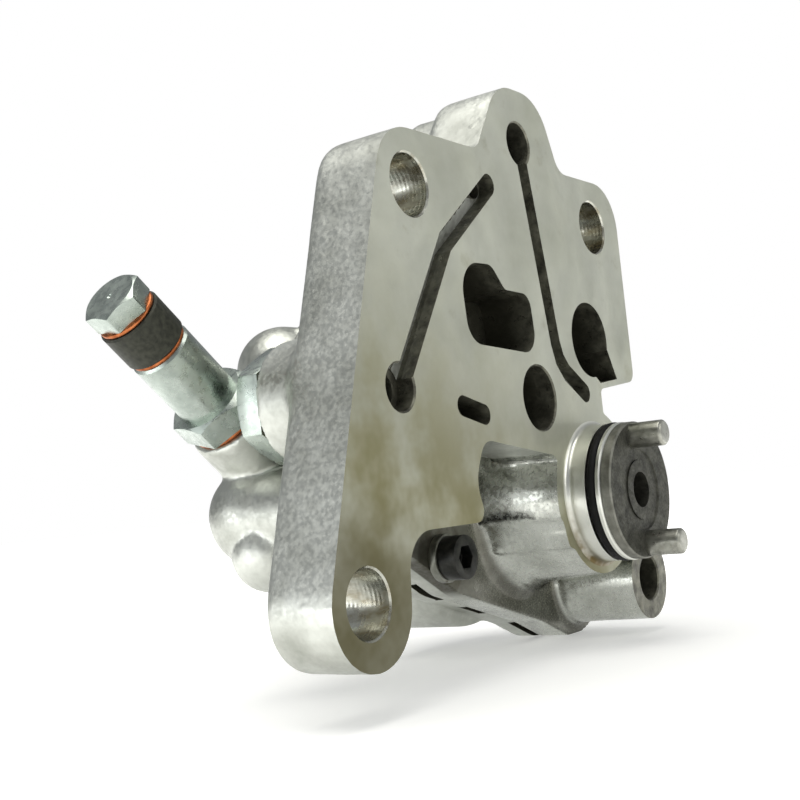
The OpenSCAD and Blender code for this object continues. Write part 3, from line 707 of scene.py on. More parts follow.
def cut(target: Thing, cutters: Sequence[Thing], operation: str = "DIFFERENCE") -> None:
    """Machines a solid with each closed cutter in turn and deletes the cutters."""
    for cutter in cutters:
        modify(target, "BOOLEAN", {"operation": operation, "solver": "MANIFOLD", "object": cutter})
        drop(cutter)


def cad_copy(name: str, node: str) -> Thing:
    """Copies the mesh of a CAD node in millimetres, with its split corners joined."""
    work = bmesh.new()
    work.from_mesh(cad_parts[node].data)
    bmesh.ops.scale(work, vec=(1000, 1000, 1000), verts=work.verts)
    bmesh.ops.remove_doubles(work, verts=work.verts, dist=1e-3)
    mesh = bpy.data.meshes.new(name)
    work.to_mesh(mesh)
    work.free()
    return add_thing(name, mesh)


def section_loops(source: Thing, distance: float) -> list[list[Point]]:
    """Cuts a solid with a plane across Y and gives the closed loops of the cut.

    Args:
        source: Solid in millimetres.
        distance: Place of the plane on Y.

    Returns:
        Loops of X and Z points, the largest first.
    """
    work = bmesh.new()
    work.from_mesh(source.data)
    everything = list(work.verts) + list(work.edges) + list(work.faces)
    plane = {"plane_co": (0, distance, 0), "plane_no": (0, 1, 0)}
    made = bmesh.ops.bisect_plane(work, geom=everything, dist=1e-5, **plane)
    edges = {e for e in made["geom_cut"] if isinstance(e, bmesh.types.BMEdge)}
    loops: list[list[Point]] = []
    while edges:
        edge = edges.pop()
        first, here = edge.verts
        loop = [first, here]
        while here is not first:
            following = next((e for e in here.link_edges if e in edges), None)
            if following is None:
                break
            edges.remove(following)
            here = following.other_vert(here)
            loop.append(here)
        loops.append([(v.co.x, v.co.z) for v in loop[:-1]])
    work.free()
    return sorted(loops, key=lambda loop: -abs(area_of(loop)))


def area_of(loop: Sequence[Point]) -> float:
    """Gives the signed area inside a loop."""
    return sum(a[0] * b[1] - b[0] * a[1] for a, b in zip(loop, list(loop[1:]) + [loop[0]])) / 2


def near_or_inside(x: np.ndarray, z: np.ndarray, outline: Sequence[Point], margin: float) -> np.ndarray:
    """Tells which points lie inside an outline or close to it.

    Args:
        x: First coordinates of the points.
        z: Second coordinates of the points.
        outline: Corners of the outline.
        margin: Distance that still counts as close.

    Returns:
        True for each point inside or close.
    """
    inside = np.zeros(len(x), bool)
    close = np.zeros(len(x), bool)
    corners = list(outline)
    for (ax, az), (bx, bz) in zip(corners, corners[1:] + corners[:1]):
        crossing = (az > z) != (bz > z)
        if az != bz:
            inside ^= crossing & (x < ax + (z - az) * (bx - ax) / (bz - az))
        length = math.hypot(bx - ax, bz - az)
        if length > 1e-9:
            along = np.clip(((x - ax) * (bx - ax) + (z - az) * (bz - az)) / length ** 2, 0, 1)
            close |= np.hypot(x - ax - along * (bx - ax), z - az - along * (bz - az)) < margin
    return inside | close


def holds(loop: Sequence[Point], spots: Sequence[Point]) -> bool:
    """Tells whether a loop goes round all of some points."""
    x, z = np.array(spots).T
    return bool(near_or_inside(x, z, loop, 0.0).all())


def rows(items: bpy.types.bpy_prop_collection, key: str) -> np.ndarray:
    """Reads a vector of each item of a mesh, one row each."""
    values = np.empty(len(items) * 3)
    items.foreach_get(key, values)
    return values.reshape(-1, 3)


def join(target: Thing, others: Sequence[Thing]) -> None:
    """Puts the meshes of other objects into one object and deletes them."""
    work = bmesh.new()
    work.from_mesh(target.data)
    for other in others:
        work.from_mesh(other.data)
        drop(other)
    work.to_mesh(target.data)
    work.free()


def cast_skin(target: Thing, voxel: float, passes: int) -> None:
    """Turns sharp solids into one skin with the rounded edges of a casting.

    Args:
        target: Object whose closed meshes may overlap.
        voxel: Grid size in millimetres.
        passes: Smoothing passes, which set how round the edges get.
    """
    modify(target, "REMESH", {"mode": "VOXEL", "voxel_size": voxel})
    modify(target, "SMOOTH", {"factor": 0.5, "iterations": passes})


def round_more(
    target: Thing,
    weigh: Callable[[np.ndarray], np.ndarray],
    passes: int,
    levels: int = 8,
) -> None:
    """Smooths part of a skin further.

    Args:
        target: Object to smooth.
        weigh: Gives a weight between 0 and 1 for each row of coordinates.
        passes: Smoothing passes.
        levels: Steps of the weights.
    """
    weights = weigh(rows(target.data.vertices, "co"))
    group = target.vertex_groups.new(name="more")
    stepped = np.round(weights * levels).astype(int)
    for level in range(1, levels + 1):
        chosen = np.nonzero(stepped == level)[0]
        if len(chosen):
            group.add(chosen.tolist(), level / levels, "REPLACE")
    modify(target, "SMOOTH", {"factor": 0.5, "iterations": passes, "vertex_group": "more"})
    target.vertex_groups.clear()


def bevel(target: Thing, width: float, steps: int = 2, degrees: float = 30.0) -> None:
    """Breaks the edges of an object that are sharper than an angle."""
    settings = {"width": width, "segments": steps, "use_clamp_overlap": True, "harden_normals": False}
    settings |= {"limit_method": "ANGLE", "angle_limit": math.radians(degrees)}
    modify(target, "BEVEL", settings)


def bevelled(name: str, node: str, width: float) -> Thing:
    """Copies a CAD node with its sharp edges broken.

    Args:
        name: Name of the piece.
        node: CAD node that is copied.
        width: Width of the broken edge in millimetres.

    Returns:
        The piece, in millimetres.
    """
    made = cad_copy(name, node)
    work = bmesh.new()
    work.from_mesh(made.data)
    bmesh.ops.dissolve_limit(work, angle_limit=math.radians(0.6), verts=work.verts, edges=work.edges)
    work.to_mesh(made.data)
    work.free()
    bevel(made, width, degrees=28.0)
    return made


def fit(
    piece: Thing,
    body: Body,
    materials: Sequence[Material],
    nodes: Sequence[str] = (),
    degrees: float = 30.0,
) -> None:
    """Finishes a piece: metres, shading, material, body and the CAD nodes that it stands for.

    Args:
        piece: Piece in millimetres.
        body: Body that it moves with.
        materials: Materials in the order of its faces' numbers.
        nodes: CAD nodes that it replaces.
        degrees: Edges sharper than this stay sharp.
    """
    mesh = piece.data
    mesh.transform(Matrix.Scale(MM, 4))
    numbers = np.zeros(len(mesh.polygons), np.int32)
    mesh.polygons.foreach_get("material_index", numbers)
    mesh.materials.clear()
    for material in materials:
        mesh.materials.append(material)
    mesh.polygons.foreach_set("material_index", np.minimum(numbers, len(materials) - 1))
    mesh.polygons.foreach_set("use_smooth", [True] * len(mesh.polygons))
    mesh.set_sharp_from_angle(angle=math.radians(degrees))
    mesh.update()
    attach(piece, body.value)
    if nodes:
        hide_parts(*nodes)
    LOG.info("%s: %d faces on %s", piece.name, len(mesh.polygons), body.value)


# Sub-assemblies


@dataclass
class FrontCasting:
    """The flange casting: cast skin first, then milled and bored as the real one is."""

    bolt_holes: tuple[Point, ...] = ((-68.2, 66.1), (12.5, 66.1), (-95.0, -14.4))
    bolt_hole_r: float = 6.5
    oil_hole: Point = (-21.2, 82.0)
    oil_hole_r: float = 5.0
    idler_hole_r: float = 7.35
    valve: Point = (-78.3, 25.0)
    valve_hole_r: float = 4.75
    collar_r: float = 12.6
    flange_t: float = 16.0
    seat_y: float = 22.0
    collar_y: float = 26.0
    screw: Point = (-37.3, -10.8)
    port_depth: float = 13.0
    groove_depth: float = 4.0
    kidney: tuple[Spot, ...] = (
        (-52.5, 51.9, 7.0), (-39.5, 52.2, 4.0), (-34.5, 47.0, 2.5), (-23.8, 46.6, 3.5), (-22.6, 32.9, 5.0),
        (-51.4, 34.6, 5.5))
    long_port: Point = (4.3, 37.3)
    long_port_r: float = 9.2
    long_foot: tuple[Point, ...] = ((5.0, 28.6), (7.8, 26.7), (17.2, 27.8), (13.4, 35.0), (4.0, 36.0))
    wide_groove: tuple[Point, ...] = ((-37.0, 70.2), (-57.0, 55.5), (-78.3, 25.0))
    narrow_groove: tuple[Point, ...] = (
        (-21.2, 82.0), (-13.6, 36.0), (-12.2, 32.0), (-9.4, 29.0), (-1.0, 24.2))
    small_slot: tuple[Point, ...] = ((-56.6, 21.3), (-48.4, 19.4))
    seal_bore: tuple[Point, ...] = (
        (0, -5), (12.0, -5), (12.0, 3.1), (11.0, 3.1), (11.0, 10.1), (8.0, 10.1), (8.0, 11.9), (9.0, 11.9),
        (9.0, 34), (0, 34))
    nose_bar: tuple[Point, ...] = ((-18.1, -7.8), (-16.9, -11.2), (-12.0, -12.8), (-12.0, -7.8))
    nose_lean: Point = (-2.0, -0.4)
    voxel: float = 0.5

    def raw(self) -> Thing:
        """Builds the unmachined casting."""
        body = cad_copy("front_casting", "front_housing")
        face_loops = section_loops(body, 0.4)
        boss_loops = [loop for loop in face_loops[1:] if holds(loop, [BOSS, (BOSS[0] + 8.0, BOSS[1])])]
        stock = [prism("slab", loop, -4.0, 2.0) for loop in face_loops[:1] + boss_loops]
        stock.append(prism("slab", section_loops(body, JOINT_Y - 0.4)[0], JOINT_Y - 2.0, JOINT_Y + 4.0))
        stock.append(prism("bar", self.nose_bar, -4.0, self.seat_y + 1.0, self.nose_lean))
        join(body, stock)
        cast_skin(body, self.voxel, 3)

        def rear_edge(at: np.ndarray) -> np.ndarray:
            """Weight of the rounded rear edge of the flange."""
            behind = np.clip((at[:, 1] - 6.0) / 6.0, 0, 1)
            outside = np.clip((self.flange_t + 2.5 - at[:, 1]) / 1.5, 0, 1)
            return behind * outside

        round_more(body, rear_edge, 90)
        return body

    def slots(self) -> list[tuple[str, list[Point], float]]:
        """Gives the name, the outline and the depth of each milled groove."""
        plans = (
            ("wide", self.wide_groove, 5.0, self.groove_depth),
            ("narrow", self.narrow_groove, 4.6, self.groove_depth),
            ("small", self.small_slot, 4.4, 7.0))
        return [(name, slot_outline(path, width), depth) for name, path, width, depth in plans]

    def cutters(self) -> list[Thing]:
        """Builds the mill, drill and boring cuts."""
        made = [block("face", -60.0, 0.0), block("joint", JOINT_Y, 90.0)]
        made += [self.hole(spot, self.bolt_hole_r, self.flange_t + 6) for spot in self.bolt_holes]
        made.append(self.hole(BOSS, BOSS_HOLE_R, 40.0))
        made.append(self.hole(self.oil_hole, self.oil_hole_r, 20.0))
        made.append(self.hole(IDLER, self.idler_hole_r, 10.0))
        made.append(self.hole(IDLER, 7.0, 40.0, 11.9))
        made.append(prism("kidney", self.kidney_outline(), -1.0, self.port_depth))
        made.append(self.hole(self.long_port, self.long_port_r, self.port_depth, chamfer=0.0))
        made.append(prism("foot", self.long_foot, -1.0, self.port_depth))
        made += [prism(name, outline, -1.0, depth) for name, outline, depth in self.slots()]
        made.append(self.hole(self.wide_groove[0], 2.2, self.port_depth, chamfer=0.0))
        made.append(self.hole(self.valve, self.valve_hole_r, 4.2))
        made.append(self.hole(self.valve, 3.0, 10.0, chamfer=0.0))
        made.append(self.hole(self.valve, 5.9, 18.0, 7.9))
        made.append(self.hole(self.valve, 8.0, 40.0, 15.9))
        made.append(drum("collar", self.collar_r + 3.0, self.collar_y, 34, self.at(self.valve)))
        made.append(lathe("seals", self.seal_bore))
        made.append(drum("seat", 6.2, self.seat_y - 9, self.seat_y, self.at(self.screw)))
        return made

    @staticmethod
    def at(spot: Point) -> Spot:
        """Gives the space point of a spot on the mounting face."""
        return (spot[0], 0.0, spot[1])

    def hole(
        self,
        spot: Point,
        radius: float,
        depth: float,
        start: float = -1.0,
        chamfer: float = 0.35,
    ) -> Thing:
        """Builds a drill, with a small countersink where it starts at the face."""
        if start < 0 < chamfer:
            wide = radius + chamfer + 1
            profile = [(0, start), (wide, start), (radius, chamfer), (radius, depth), (0, depth)]
            return lathe("drill", profile, self.at(spot), segments=72)
        return drum("drill", radius, start, depth, self.at(spot), segments=72)

    def kidney_outline(self) -> list[Point]:
        """Gives the outline of the kidney port with arcs in its corners."""
        out: list[Point] = []
        count = len(self.kidney)
        for i, (x, z, radius) in enumerate(self.kidney):
            corner = Vector((x, z))
            back = (Vector(self.kidney[i - 1][:2]) - corner).normalized()
            ahead = (Vector(self.kidney[(i + 1) % count][:2]) - corner).normalized()
            half = math.acos(max(-1.0, min(1.0, back.dot(ahead)))) / 2
            middle = corner + (back + ahead).normalized() * radius / math.sin(half)
            start = corner + back * radius / math.tan(half) - middle
            end = corner + ahead * radius / math.tan(half) - middle
            first = math.atan2(start.y, start.x)
            sweep = (math.atan2(end.y, end.x) - first + 3 * math.pi) % (2 * math.pi) - math.pi
            out += arc(tuple(middle), radius, first, sweep, 12)
        return out

    def mark(self, piece: Thing) -> None:
        """Numbers the faces by their finish."""
        mesh = piece.data
        x, y, z = rows(mesh.polygons, "center").T
        facing = rows(mesh.polygons, "normal")[:, 1]
        number = np.full(len(x), Skin.CAST, np.int32)
        number[(np.abs(y) < 0.01) & (facing < -0.99)] = Skin.MILLED
        on_boss = (np.hypot(x - BOSS[0], z - BOSS[1]) < 10.35) & (np.hypot(x, z) > 20.6)
        number[on_boss & (np.abs(y) < 0.01)] = Skin.OILED_SHADED
        number[(np.abs(y - JOINT_Y) < 0.01) & (facing > 0.99)] = Skin.MILLED
        near_valve = np.hypot(x - self.valve[0], z - self.valve[1]) < self.collar_r + 3.2
        number[near_valve & (np.abs(y - self.collar_y) < 0.01)] = Skin.MILLED
        bores = [(spot, self.bolt_hole_r, Skin.BORED) for spot in self.bolt_holes]
        bores += [
            ((0.0, 0.0), 12.0, Skin.BORED),
            (BOSS, BOSS_HOLE_R, Skin.OILED_SHADED),
            (self.oil_hole, self.oil_hole_r, Skin.OILED_SHADED),
            (IDLER, self.idler_hole_r, Skin.OILED_SHADED),
            (self.valve, self.valve_hole_r, Skin.OILED_SHADED)]
        for (bx, bz), radius, finish in bores:
            inside = np.hypot(x - bx, z - bz) < radius + 0.42
            number[inside & (number == Skin.CAST) & (y > 0.001)] = finish
        inner = (number == Skin.CAST) & (y > 0.01) & (y < self.port_depth + 0.02)
        round_port = arc(self.long_port, self.long_port_r, 0.0, 2 * math.pi, 72)[:-1]
        ports = [self.kidney_outline(), self.long_foot, round_port]
        for outline in ports + [outline for _, outline, _ in self.slots()]:
            number[inner & near_or_inside(x, z, outline, 0.06)] = Skin.OILED_SHADED
        mesh.polygons.foreach_set("material_index", number)

    def dirt_and_shade(self, piece: Thing) -> None:
        """Marks how much painted shade with oily dirt lies on each point: most on the floor of the bay round
        the screw, where shade falls.
        """
        mesh = piece.data
        x, y, z = rows(mesh.vertices, "co").T
        facing = np.clip((-rows(mesh.vertices, "normal")[:, 1] - 0.25) / 0.4, 0, 1)
        floor = np.clip((y - 17.0) / 4.0, 0, 1) * (y < JOINT_Y - 1) * (x > -60) * (x < 36) * (z < 12)
        close = np.clip((13.0 - np.hypot(x - self.screw[0], z - self.screw[1])) / 4.0, 0, 1)
        round_screw = close * np.clip((y - 9.0) / 7.0, 0, 1)
        # Painted shade with oily dirt: on the bay floor facing the mounting face and round the screw's seat
        amount = np.maximum(floor * facing * 0.85, round_screw * (y < JOINT_Y - 4))
        calm = np.clip((x + 30.0) / 8.0, 0, 1) * np.clip((14.0 - z) / 6.0, 0, 1)
        for name, values in (("dirt_and_shade", amount), ("calm", calm)):
            attribute = mesh.attributes.new(name, "FLOAT", "POINT")
            attribute.data.foreach_set("value", values.astype(np.float32))

    def build(self, paints: Mapping[str, Material]) -> None:
        """Builds the casting and puts it in place of its CAD node."""
        piece = self.raw()
        cut(piece, self.cutters())
        self.mark(piece)
        self.dirt_and_shade(piece)
        skins = [paints[key] for key in ("cast", "milled", "bored", "oiled")]
        fit(piece, Body.HOUSING, skins, ["front_housing"], 32.0)


@dataclass
class Spigot:
    """The turned spigot with its ring seal, the coupling disc and the drive pins."""

    spigot_r: float = 16.25
    root_r: float = 1.3
    height: float = 8.6
    groove_y: float = 4.8
    cord: float = 2.6
    ring_out: float = 0.2
    bore_r: float = 12.0
    clip_groove: Point = (-4.92, -3.94)
    disc_r: float = 16.1
    disc_t: float = 2.4
    gap: float = 0.2
    hub_r: float = 9.0
    hub_end: float = -5.4
    shaft_r: float = 7.0
    pin_r: float = 3.0
    pin_circle: float = 12.8
    pin_degrees: float = 98.0
    pin_out: float = 8.3
    chamfer: float = 0.5
    rim_edge: float = 0.35

    def spigot(self, turned: Material) -> None:
        """Builds the turned spigot on the milled face."""
        r, g, bore = self.spigot_r, self.groove_y, self.bore_r
        floor = r - self.cord + self.ring_out
        angles = np.linspace(0.12, math.pi / 2, 8)
        root = [(r + self.root_r * (1 - math.sin(a)), -self.root_r * (1 - math.cos(a))) for a in angles]
        groove = [(r, -g), (floor, -g), (floor, -g - self.cord), (r, -g - self.cord)]
        end = [(r, -self.height + self.chamfer), (r - self.chamfer, -self.height)]
        deep, shallow = self.clip_groove
        inner = [
            (bore + 0.4, -self.height), (bore, -self.height + 0.4), (bore, deep), (bore + 1, deep),
            (bore + 1, shallow), (bore, shallow), (bore, 1.0)]
        made = lathe("turned_spigot", [(r + self.root_r, 0.6)] + root + groove + end + inner, segments=144)
        fit(made, Body.HOUSING, [turned], degrees=35.0)

    def ring(self, rubber: Material) -> None:
        """Builds the ring seal."""
        middle = self.spigot_r - self.cord / 2 + self.ring_out
        centre = (middle, -self.groove_y - self.cord / 2)
        profile = arc(centre, self.cord / 2 - 0.03, 0.0, 2 * math.pi, 24)[:-1]
        made = lathe("ring_seal", profile, segments=144)
        fit(made, Body.HOUSING, [rubber], ["spigot_ring"], 60.0)

    def disc(self, sintered: Material, rim: Material) -> None:
        """Builds the coupling disc with its turned rim."""
        back = -self.height - self.gap
        face = back - self.disc_t
        step = face + self.rim_edge
        hole = self.shaft_r + 0.02
        profile = [
            (self.disc_r, back), (self.disc_r, step), (self.disc_r - self.rim_edge, face), (hole + 2.6, face),
            (hole + 2.3, step), (hole, step), (hole, self.hub_end), (self.hub_r, self.hub_end),
            (self.hub_r, back)]
        made = lathe("coupling_disc_piece", profile, segments=144)
        cut(made, [drum("pin_hole", self.pin_r + 0.02, -20, -5, at, segments=48) for at in self.pin_spots()])
        x, _, z = rows(made.data.polygons, "center").T
        on_rim = np.hypot(x, z) > self.disc_r - 0.4
        made.data.polygons.foreach_set("material_index", on_rim.astype(np.int32))
        fit(made, Body.ROTOR, [sintered, rim], ["coupling_disc"], 32.0)

    def pin_spots(self) -> list[Spot]:
        """Gives the two places of the drive pins."""
        angle = math.radians(self.pin_degrees)
        x, z = self.pin_circle * math.cos(angle), self.pin_circle * math.sin(angle)
        return [(x, 0.0, z), (-x, 0.0, -z)]

    def pins(self, steel: Material) -> None:
        """Builds the two drive pins with their chamfered ends."""
        back = -self.height - self.gap
        end = back - self.disc_t - self.pin_out
        narrow = self.pin_r - self.chamfer
        corners = [(0, end), (narrow, end), (self.pin_r, end + self.chamfer), (self.pin_r, back), (0, back)]
        rounded = [point for point in soften(corners, 0.2) if point[0] > 0.4]
        profile = [(0, end)] + rounded + [(0, back)]
        made, other = [lathe("drive_pin_pair", profile, at, segments=64) for at in self.pin_spots()]
        join(made, [other])
        fit(made, Body.ROTOR, [steel], ["drive_pins"], 35.0)

    def build(self, paints: Mapping[str, Material]) -> None:
        """Builds the spigot and the coupling."""
        self.spigot(paints["turned"])
        self.ring(paints["rubber"])
        self.disc(paints["sintered"], paints["rim"])
        self.pins(paints["pin"])


@dataclass
class RearCasting:
    """The rear housing: cast skin with a milled joint face and the gear pocket."""

    pocket_r: float = 18.9
    pocket_end: float = 46.3
    bush_r: float = 9.02
    bush_end: float = 59.3
    screws: tuple[Point, ...] = ((29.2, 9.0), (10.0, 34.5), (-22.0, 52.6), (-52.5, 33.0))
    notches: tuple[tuple[float, float, float, float], ...] = (
        (-30.3, -17.6, 30.0, 12.0), (-11.7, -25.2, 17.0, 9.0), (12.5, -33.4, 22.0, 15.0))
    notch_w: float = 2.5
    notch_half: float = 3.0
    voxel: float = 0.65
    milled_number: int = 1
    notch_number: int = 2

    @staticmethod
    def notch_axes(slope: float) -> tuple[Vector, Vector]:
        """Gives the directions along and across a notch."""
        lean = math.radians(slope)
        return Vector((math.cos(lean), -math.sin(lean))), Vector((math.sin(lean), math.cos(lean)))

    def notch_outlines(self) -> list[list[Point]]:
        """Gives the outlines of the notches in the lower edge of the joint face."""
        outlines = []
        for x, z, slope, length in self.notches:
            along, across = self.notch_axes(slope)
            middle = Vector((x, z))
            signs = ((-1, -1), (1, -1), (1, 1), (-1, 1))
            corners = [middle + along * a * length / 2 + across * b * self.notch_half for a, b in signs]
            outlines.append(soften([tuple(c) for c in corners], 2.0))
        return outlines

    def in_notch(self, spot: Vector) -> bool:
        """Tells whether a point lies on the walls or the floor of a notch."""
        for x, z, slope, length in self.notches:
            along, across = self.notch_axes(slope)
            offset = spot - Vector((x, z))
            within = abs(offset.dot(along)) < length / 2 + 0.02
            if within and abs(offset.dot(across)) < self.notch_half + 0.02:
                return True
        return False

    def cutters(self) -> list[Thing]:
        """Builds the milled joint face and the bores behind it."""
        made = [block("joint", -20.0, JOINT_Y)]
        made += [prism("notch", outline, 20.0, JOINT_Y + self.notch_w) for outline in self.notch_outlines()]
        pocket = [
            (0, 20), (self.pocket_r, 20), (self.pocket_r, self.pocket_end), (self.bush_r, self.pocket_end),
            (self.bush_r, self.bush_end), (0, self.bush_end)]
        made += [lathe("pocket", pocket, (x, 0, z)) for x, z in ((0.0, 0.0), IDLER)]
        made += [drum("head", 5.5, 38, 90, (x, 0, z), segments=48) for x, z in self.screws]
        made.append(drum("through", BOSS_HOLE_R, 20, 60, (BOSS[0], 0, BOSS[1]), segments=64))
        made.append(drum("nipple_face", 11.0, 0, 8, NIPPLE_FOOT, NIPPLE_AXIS, 64))
        return made

    def build(self, paints: Mapping[str, Material]) -> None:
        """Builds the rear casting and puts it in place of its CAD node."""
        body = cad_copy("rear_casting", "rear_housing")
        loops = section_loops(body, JOINT_Y + 3.0)
        join(body, [prism("slab", loops[0], JOINT_Y - 0.5, JOINT_Y + 1.5)])
        cast_skin(body, self.voxel, 14)
        cut(body, self.cutters())
        for polygon in body.data.polygons:
            centre = polygon.center
            flat = abs(centre.y - JOINT_Y) < 0.01
            from_foot = centre - Vector(NIPPLE_FOOT)
            on_foot = abs(from_foot.dot(Vector(NIPPLE_AXIS))) < 0.01 and from_foot.length < 10
            polygon.material_index = self.milled_number if flat or on_foot else 0
            if not flat and centre.y < JOINT_Y + self.notch_w + 0.02 and self.in_notch(centre.xz):
                polygon.material_index = self.notch_number
        # The notches take the oiled finish, whose painted shade darkens them
        skins = [paints["cast"], paints["milled"], paints["oiled"]]
        fit(body, Body.HOUSING, skins, ["rear_housing"], 32.0)


@dataclass
class OutletStack:
    """The nipple, its washers, the dark sleeve and the banjo bolt, built along the tilted axis."""

    copper_t: float = 1.0
    bore_r: float = 5.2
    barrel_r: float = 6.65
    hex_af: float = 16.5
    hex_t: float = 6.0
    length: float = 22.0
    sleeve_r: float = 6.8
    sleeve_len: float = 8.7
    sleeve_edge: float = 0.35
    bolt_af: float = 11.5
    bolt_t: float = 4.6
    shank: Point = (2.0, 4.99)

    @staticmethod
    def turned(name: str, profile: Sequence[Point], segments: int = 96) -> Thing:
        """Turns an outline about the outlet's axis."""
        return lathe(name, profile, NIPPLE_FOOT, NIPPLE_AXIS, segments)

    def hexagon(self, name: str, across: float, start: float, end: float, spin: float) -> Thing:
        """Builds a hexagon with the corners of its far end turned down.

        Args:
            name: Name of the object.
            across: Width across flats.
            start: Near end along the axis.
            end: Far end along the axis.
            spin: Turn of the corners in degrees.

        Returns:
            The hexagon.
        """
        corner = across / math.sqrt(3)
        turn = Vector((0, 0, 1)).rotation_difference(Vector(NIPPLE_AXIS)).to_matrix()
        flat = arc((0.0, 0.0), corner, math.radians(spin), 2 * math.pi, 6)[:-1]
        base = Vector(NIPPLE_FOOT)
        vertices = [base + turn @ Vector((x, y, along)) for along in (start, end) for x, y in flat]
        faces = [list(range(6)), list(range(11, 5, -1))]
        faces += [[k, (k + 1) % 6, 6 + (k + 1) % 6, 6 + k] for k in range(6)]
        made = mesh_object(name, vertices, faces)
        bevel(made, 0.22)
        profile = [
            (0, start - 1), (corner + 2, start - 1), (corner + 0.6, end - across * 0.09),
            (across / 2 - 0.23, end + 0.001), (0, end + 0.001)]
        cut(made, [self.turned("turning", profile)], "INTERSECT")
        return made

    def build(self, paints: Mapping[str, Material]) -> None:
        """Builds the stack from the casting outwards."""
        zinc, copper = paints["zinc"], paints["copper"]
        t, bore, r, s, edge = self.copper_t, self.bore_r, self.barrel_r, self.sleeve_r, self.sleeve_edge
        top = t + self.length
        self.washer("nipple_seal", 0.0, self.hex_af / 2 - 0.2, copper, ["nipple_washer"])
        nipple = self.hexagon("nipple_piece", self.hex_af, t, t + self.hex_t, 14.0)
        barrel = [
            (bore, t + 3), (r, t + 3), (r, top - 0.5), (r - 0.5, top), (bore + 0.2, top), (bore, top - 0.3)]
        join(nipple, [self.turned("barrel", barrel, 128)])
        fit(nipple, Body.HOUSING, [zinc], ["outlet_nipple"], 25.0)
        self.washer("lower_washer", top, s - 0.4, copper, [])
        start = top + t
        end = start + self.sleeve_len
        band = [
            (bore, start), (s - edge, start), (s, start + edge), (s, end - edge), (s - edge, end), (bore, end)]
        sleeve = self.turned("outlet_sleeve", band, 128)
        fit(sleeve, Body.HOUSING, [paints["sleeve"]], ["banjo_sleeve"], 35.0)
        self.washer("upper_washer", end, s - 0.4, copper, ["banjo_washers"])
        tip = end + t + self.bolt_t
        head = self.hexagon("bolt_head", self.bolt_af, end + t, tip, 20.0)
        cut(head, [self.turned("dimple", [(0, tip - 0.7), (0.7, tip + 0.1), (0, tip + 0.1)], 24)])
        inner, outer = self.shank
        foot, neck = start - 6, end + t + 0.5
        join(head, [self.turned("shank", [(inner, foot), (outer, foot), (outer, neck), (inner, neck)], 64)])
        fit(head, Body.HOUSING, [zinc], ["banjo_bolt"], 25.0)

    def washer(self, name: str, start: float, radius: float, copper: Material, nodes: Sequence[str]) -> None:
        """Builds a copper washer with a crushed round edge."""
        t = self.copper_t
        side = [(-0.35, 0.0), (-0.08, 0.2), (0.0, 0.5), (-0.08, 0.8), (-0.35, 1.0)]
        edge = [(radius + out, start + t * share) for out, share in side]
        profile = [(self.bore_r, start)] + edge + [(self.bore_r, start + t)]
        fit(self.turned(name, profile, 96), Body.HOUSING, [copper], nodes, 50.0)


@dataclass
class SmallSteel:
    """Pieces that keep their CAD form with broken edges: name, node, slot, paint and edge width."""

    plans: tuple[tuple[str, str, Slot, str, float], ...] = (
        ("relief_plug_piece", "relief_plug", Slot.ZINC, "zinc", 0.3),
        ("relief_washer_piece", "relief_plug_washer", Slot.COPPER, "copper", 0.2),
        ("pocket_screw_piece", "pocket_screw", Slot.BLACK, "black", 0.35),
        ("pocket_washer_piece", "pocket_washer", Slot.ZINC, "grimy", 0.25),
        ("housing_screw_set", "housing_screws", Slot.BLACK, "black", 0.35),
        ("gallery_plug_piece", "gallery_plug", Slot.BLACK, "black", 0.25),
    )

    def build(self, paints: Mapping[str, Material]) -> None:
        """Builds the plugs, the screws and their washers."""
        for name, node, slot, paint, width in self.plans:
            fit(bevelled(name, node, width), Body.HOUSING, [paints[paint]], [node])


@dataclass
class Internals:
    """CAD nodes that keep their meshes and only get a finish."""

    plans: tuple[tuple[str, tuple[str, ...]], ...] = (
        ("ground", ("dowel_pins", "drive_key", "drive_gear", "driven_gear", "idler_shaft", "relief_piston")),
        ("ground", ("relief_spring", "check_ball", "check_spring")),
        ("bronze", ("front_shaft_bush", "rear_shaft_bush", "idler_bush")),
        ("rubber", ("housing_seal", "outer_shaft_seal", "inner_shaft_seal")),
        ("sintered", ("drive_shaft",)),
        ("black", ("seal_circlip",)),
    )

    def build(self, paints: Mapping[str, Material]) -> None:
        """Gives each inner node its finish."""
        for paint, nodes in self.plans:
            for node in nodes:
                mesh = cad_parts[node].data
                mesh.materials.clear()
                mesh.materials.append(paints[paint])
                mesh.polygons.foreach_set("material_index", [0] * len(mesh.polygons))
                LOG.info("%s: finish %s", node, paints[paint].name)


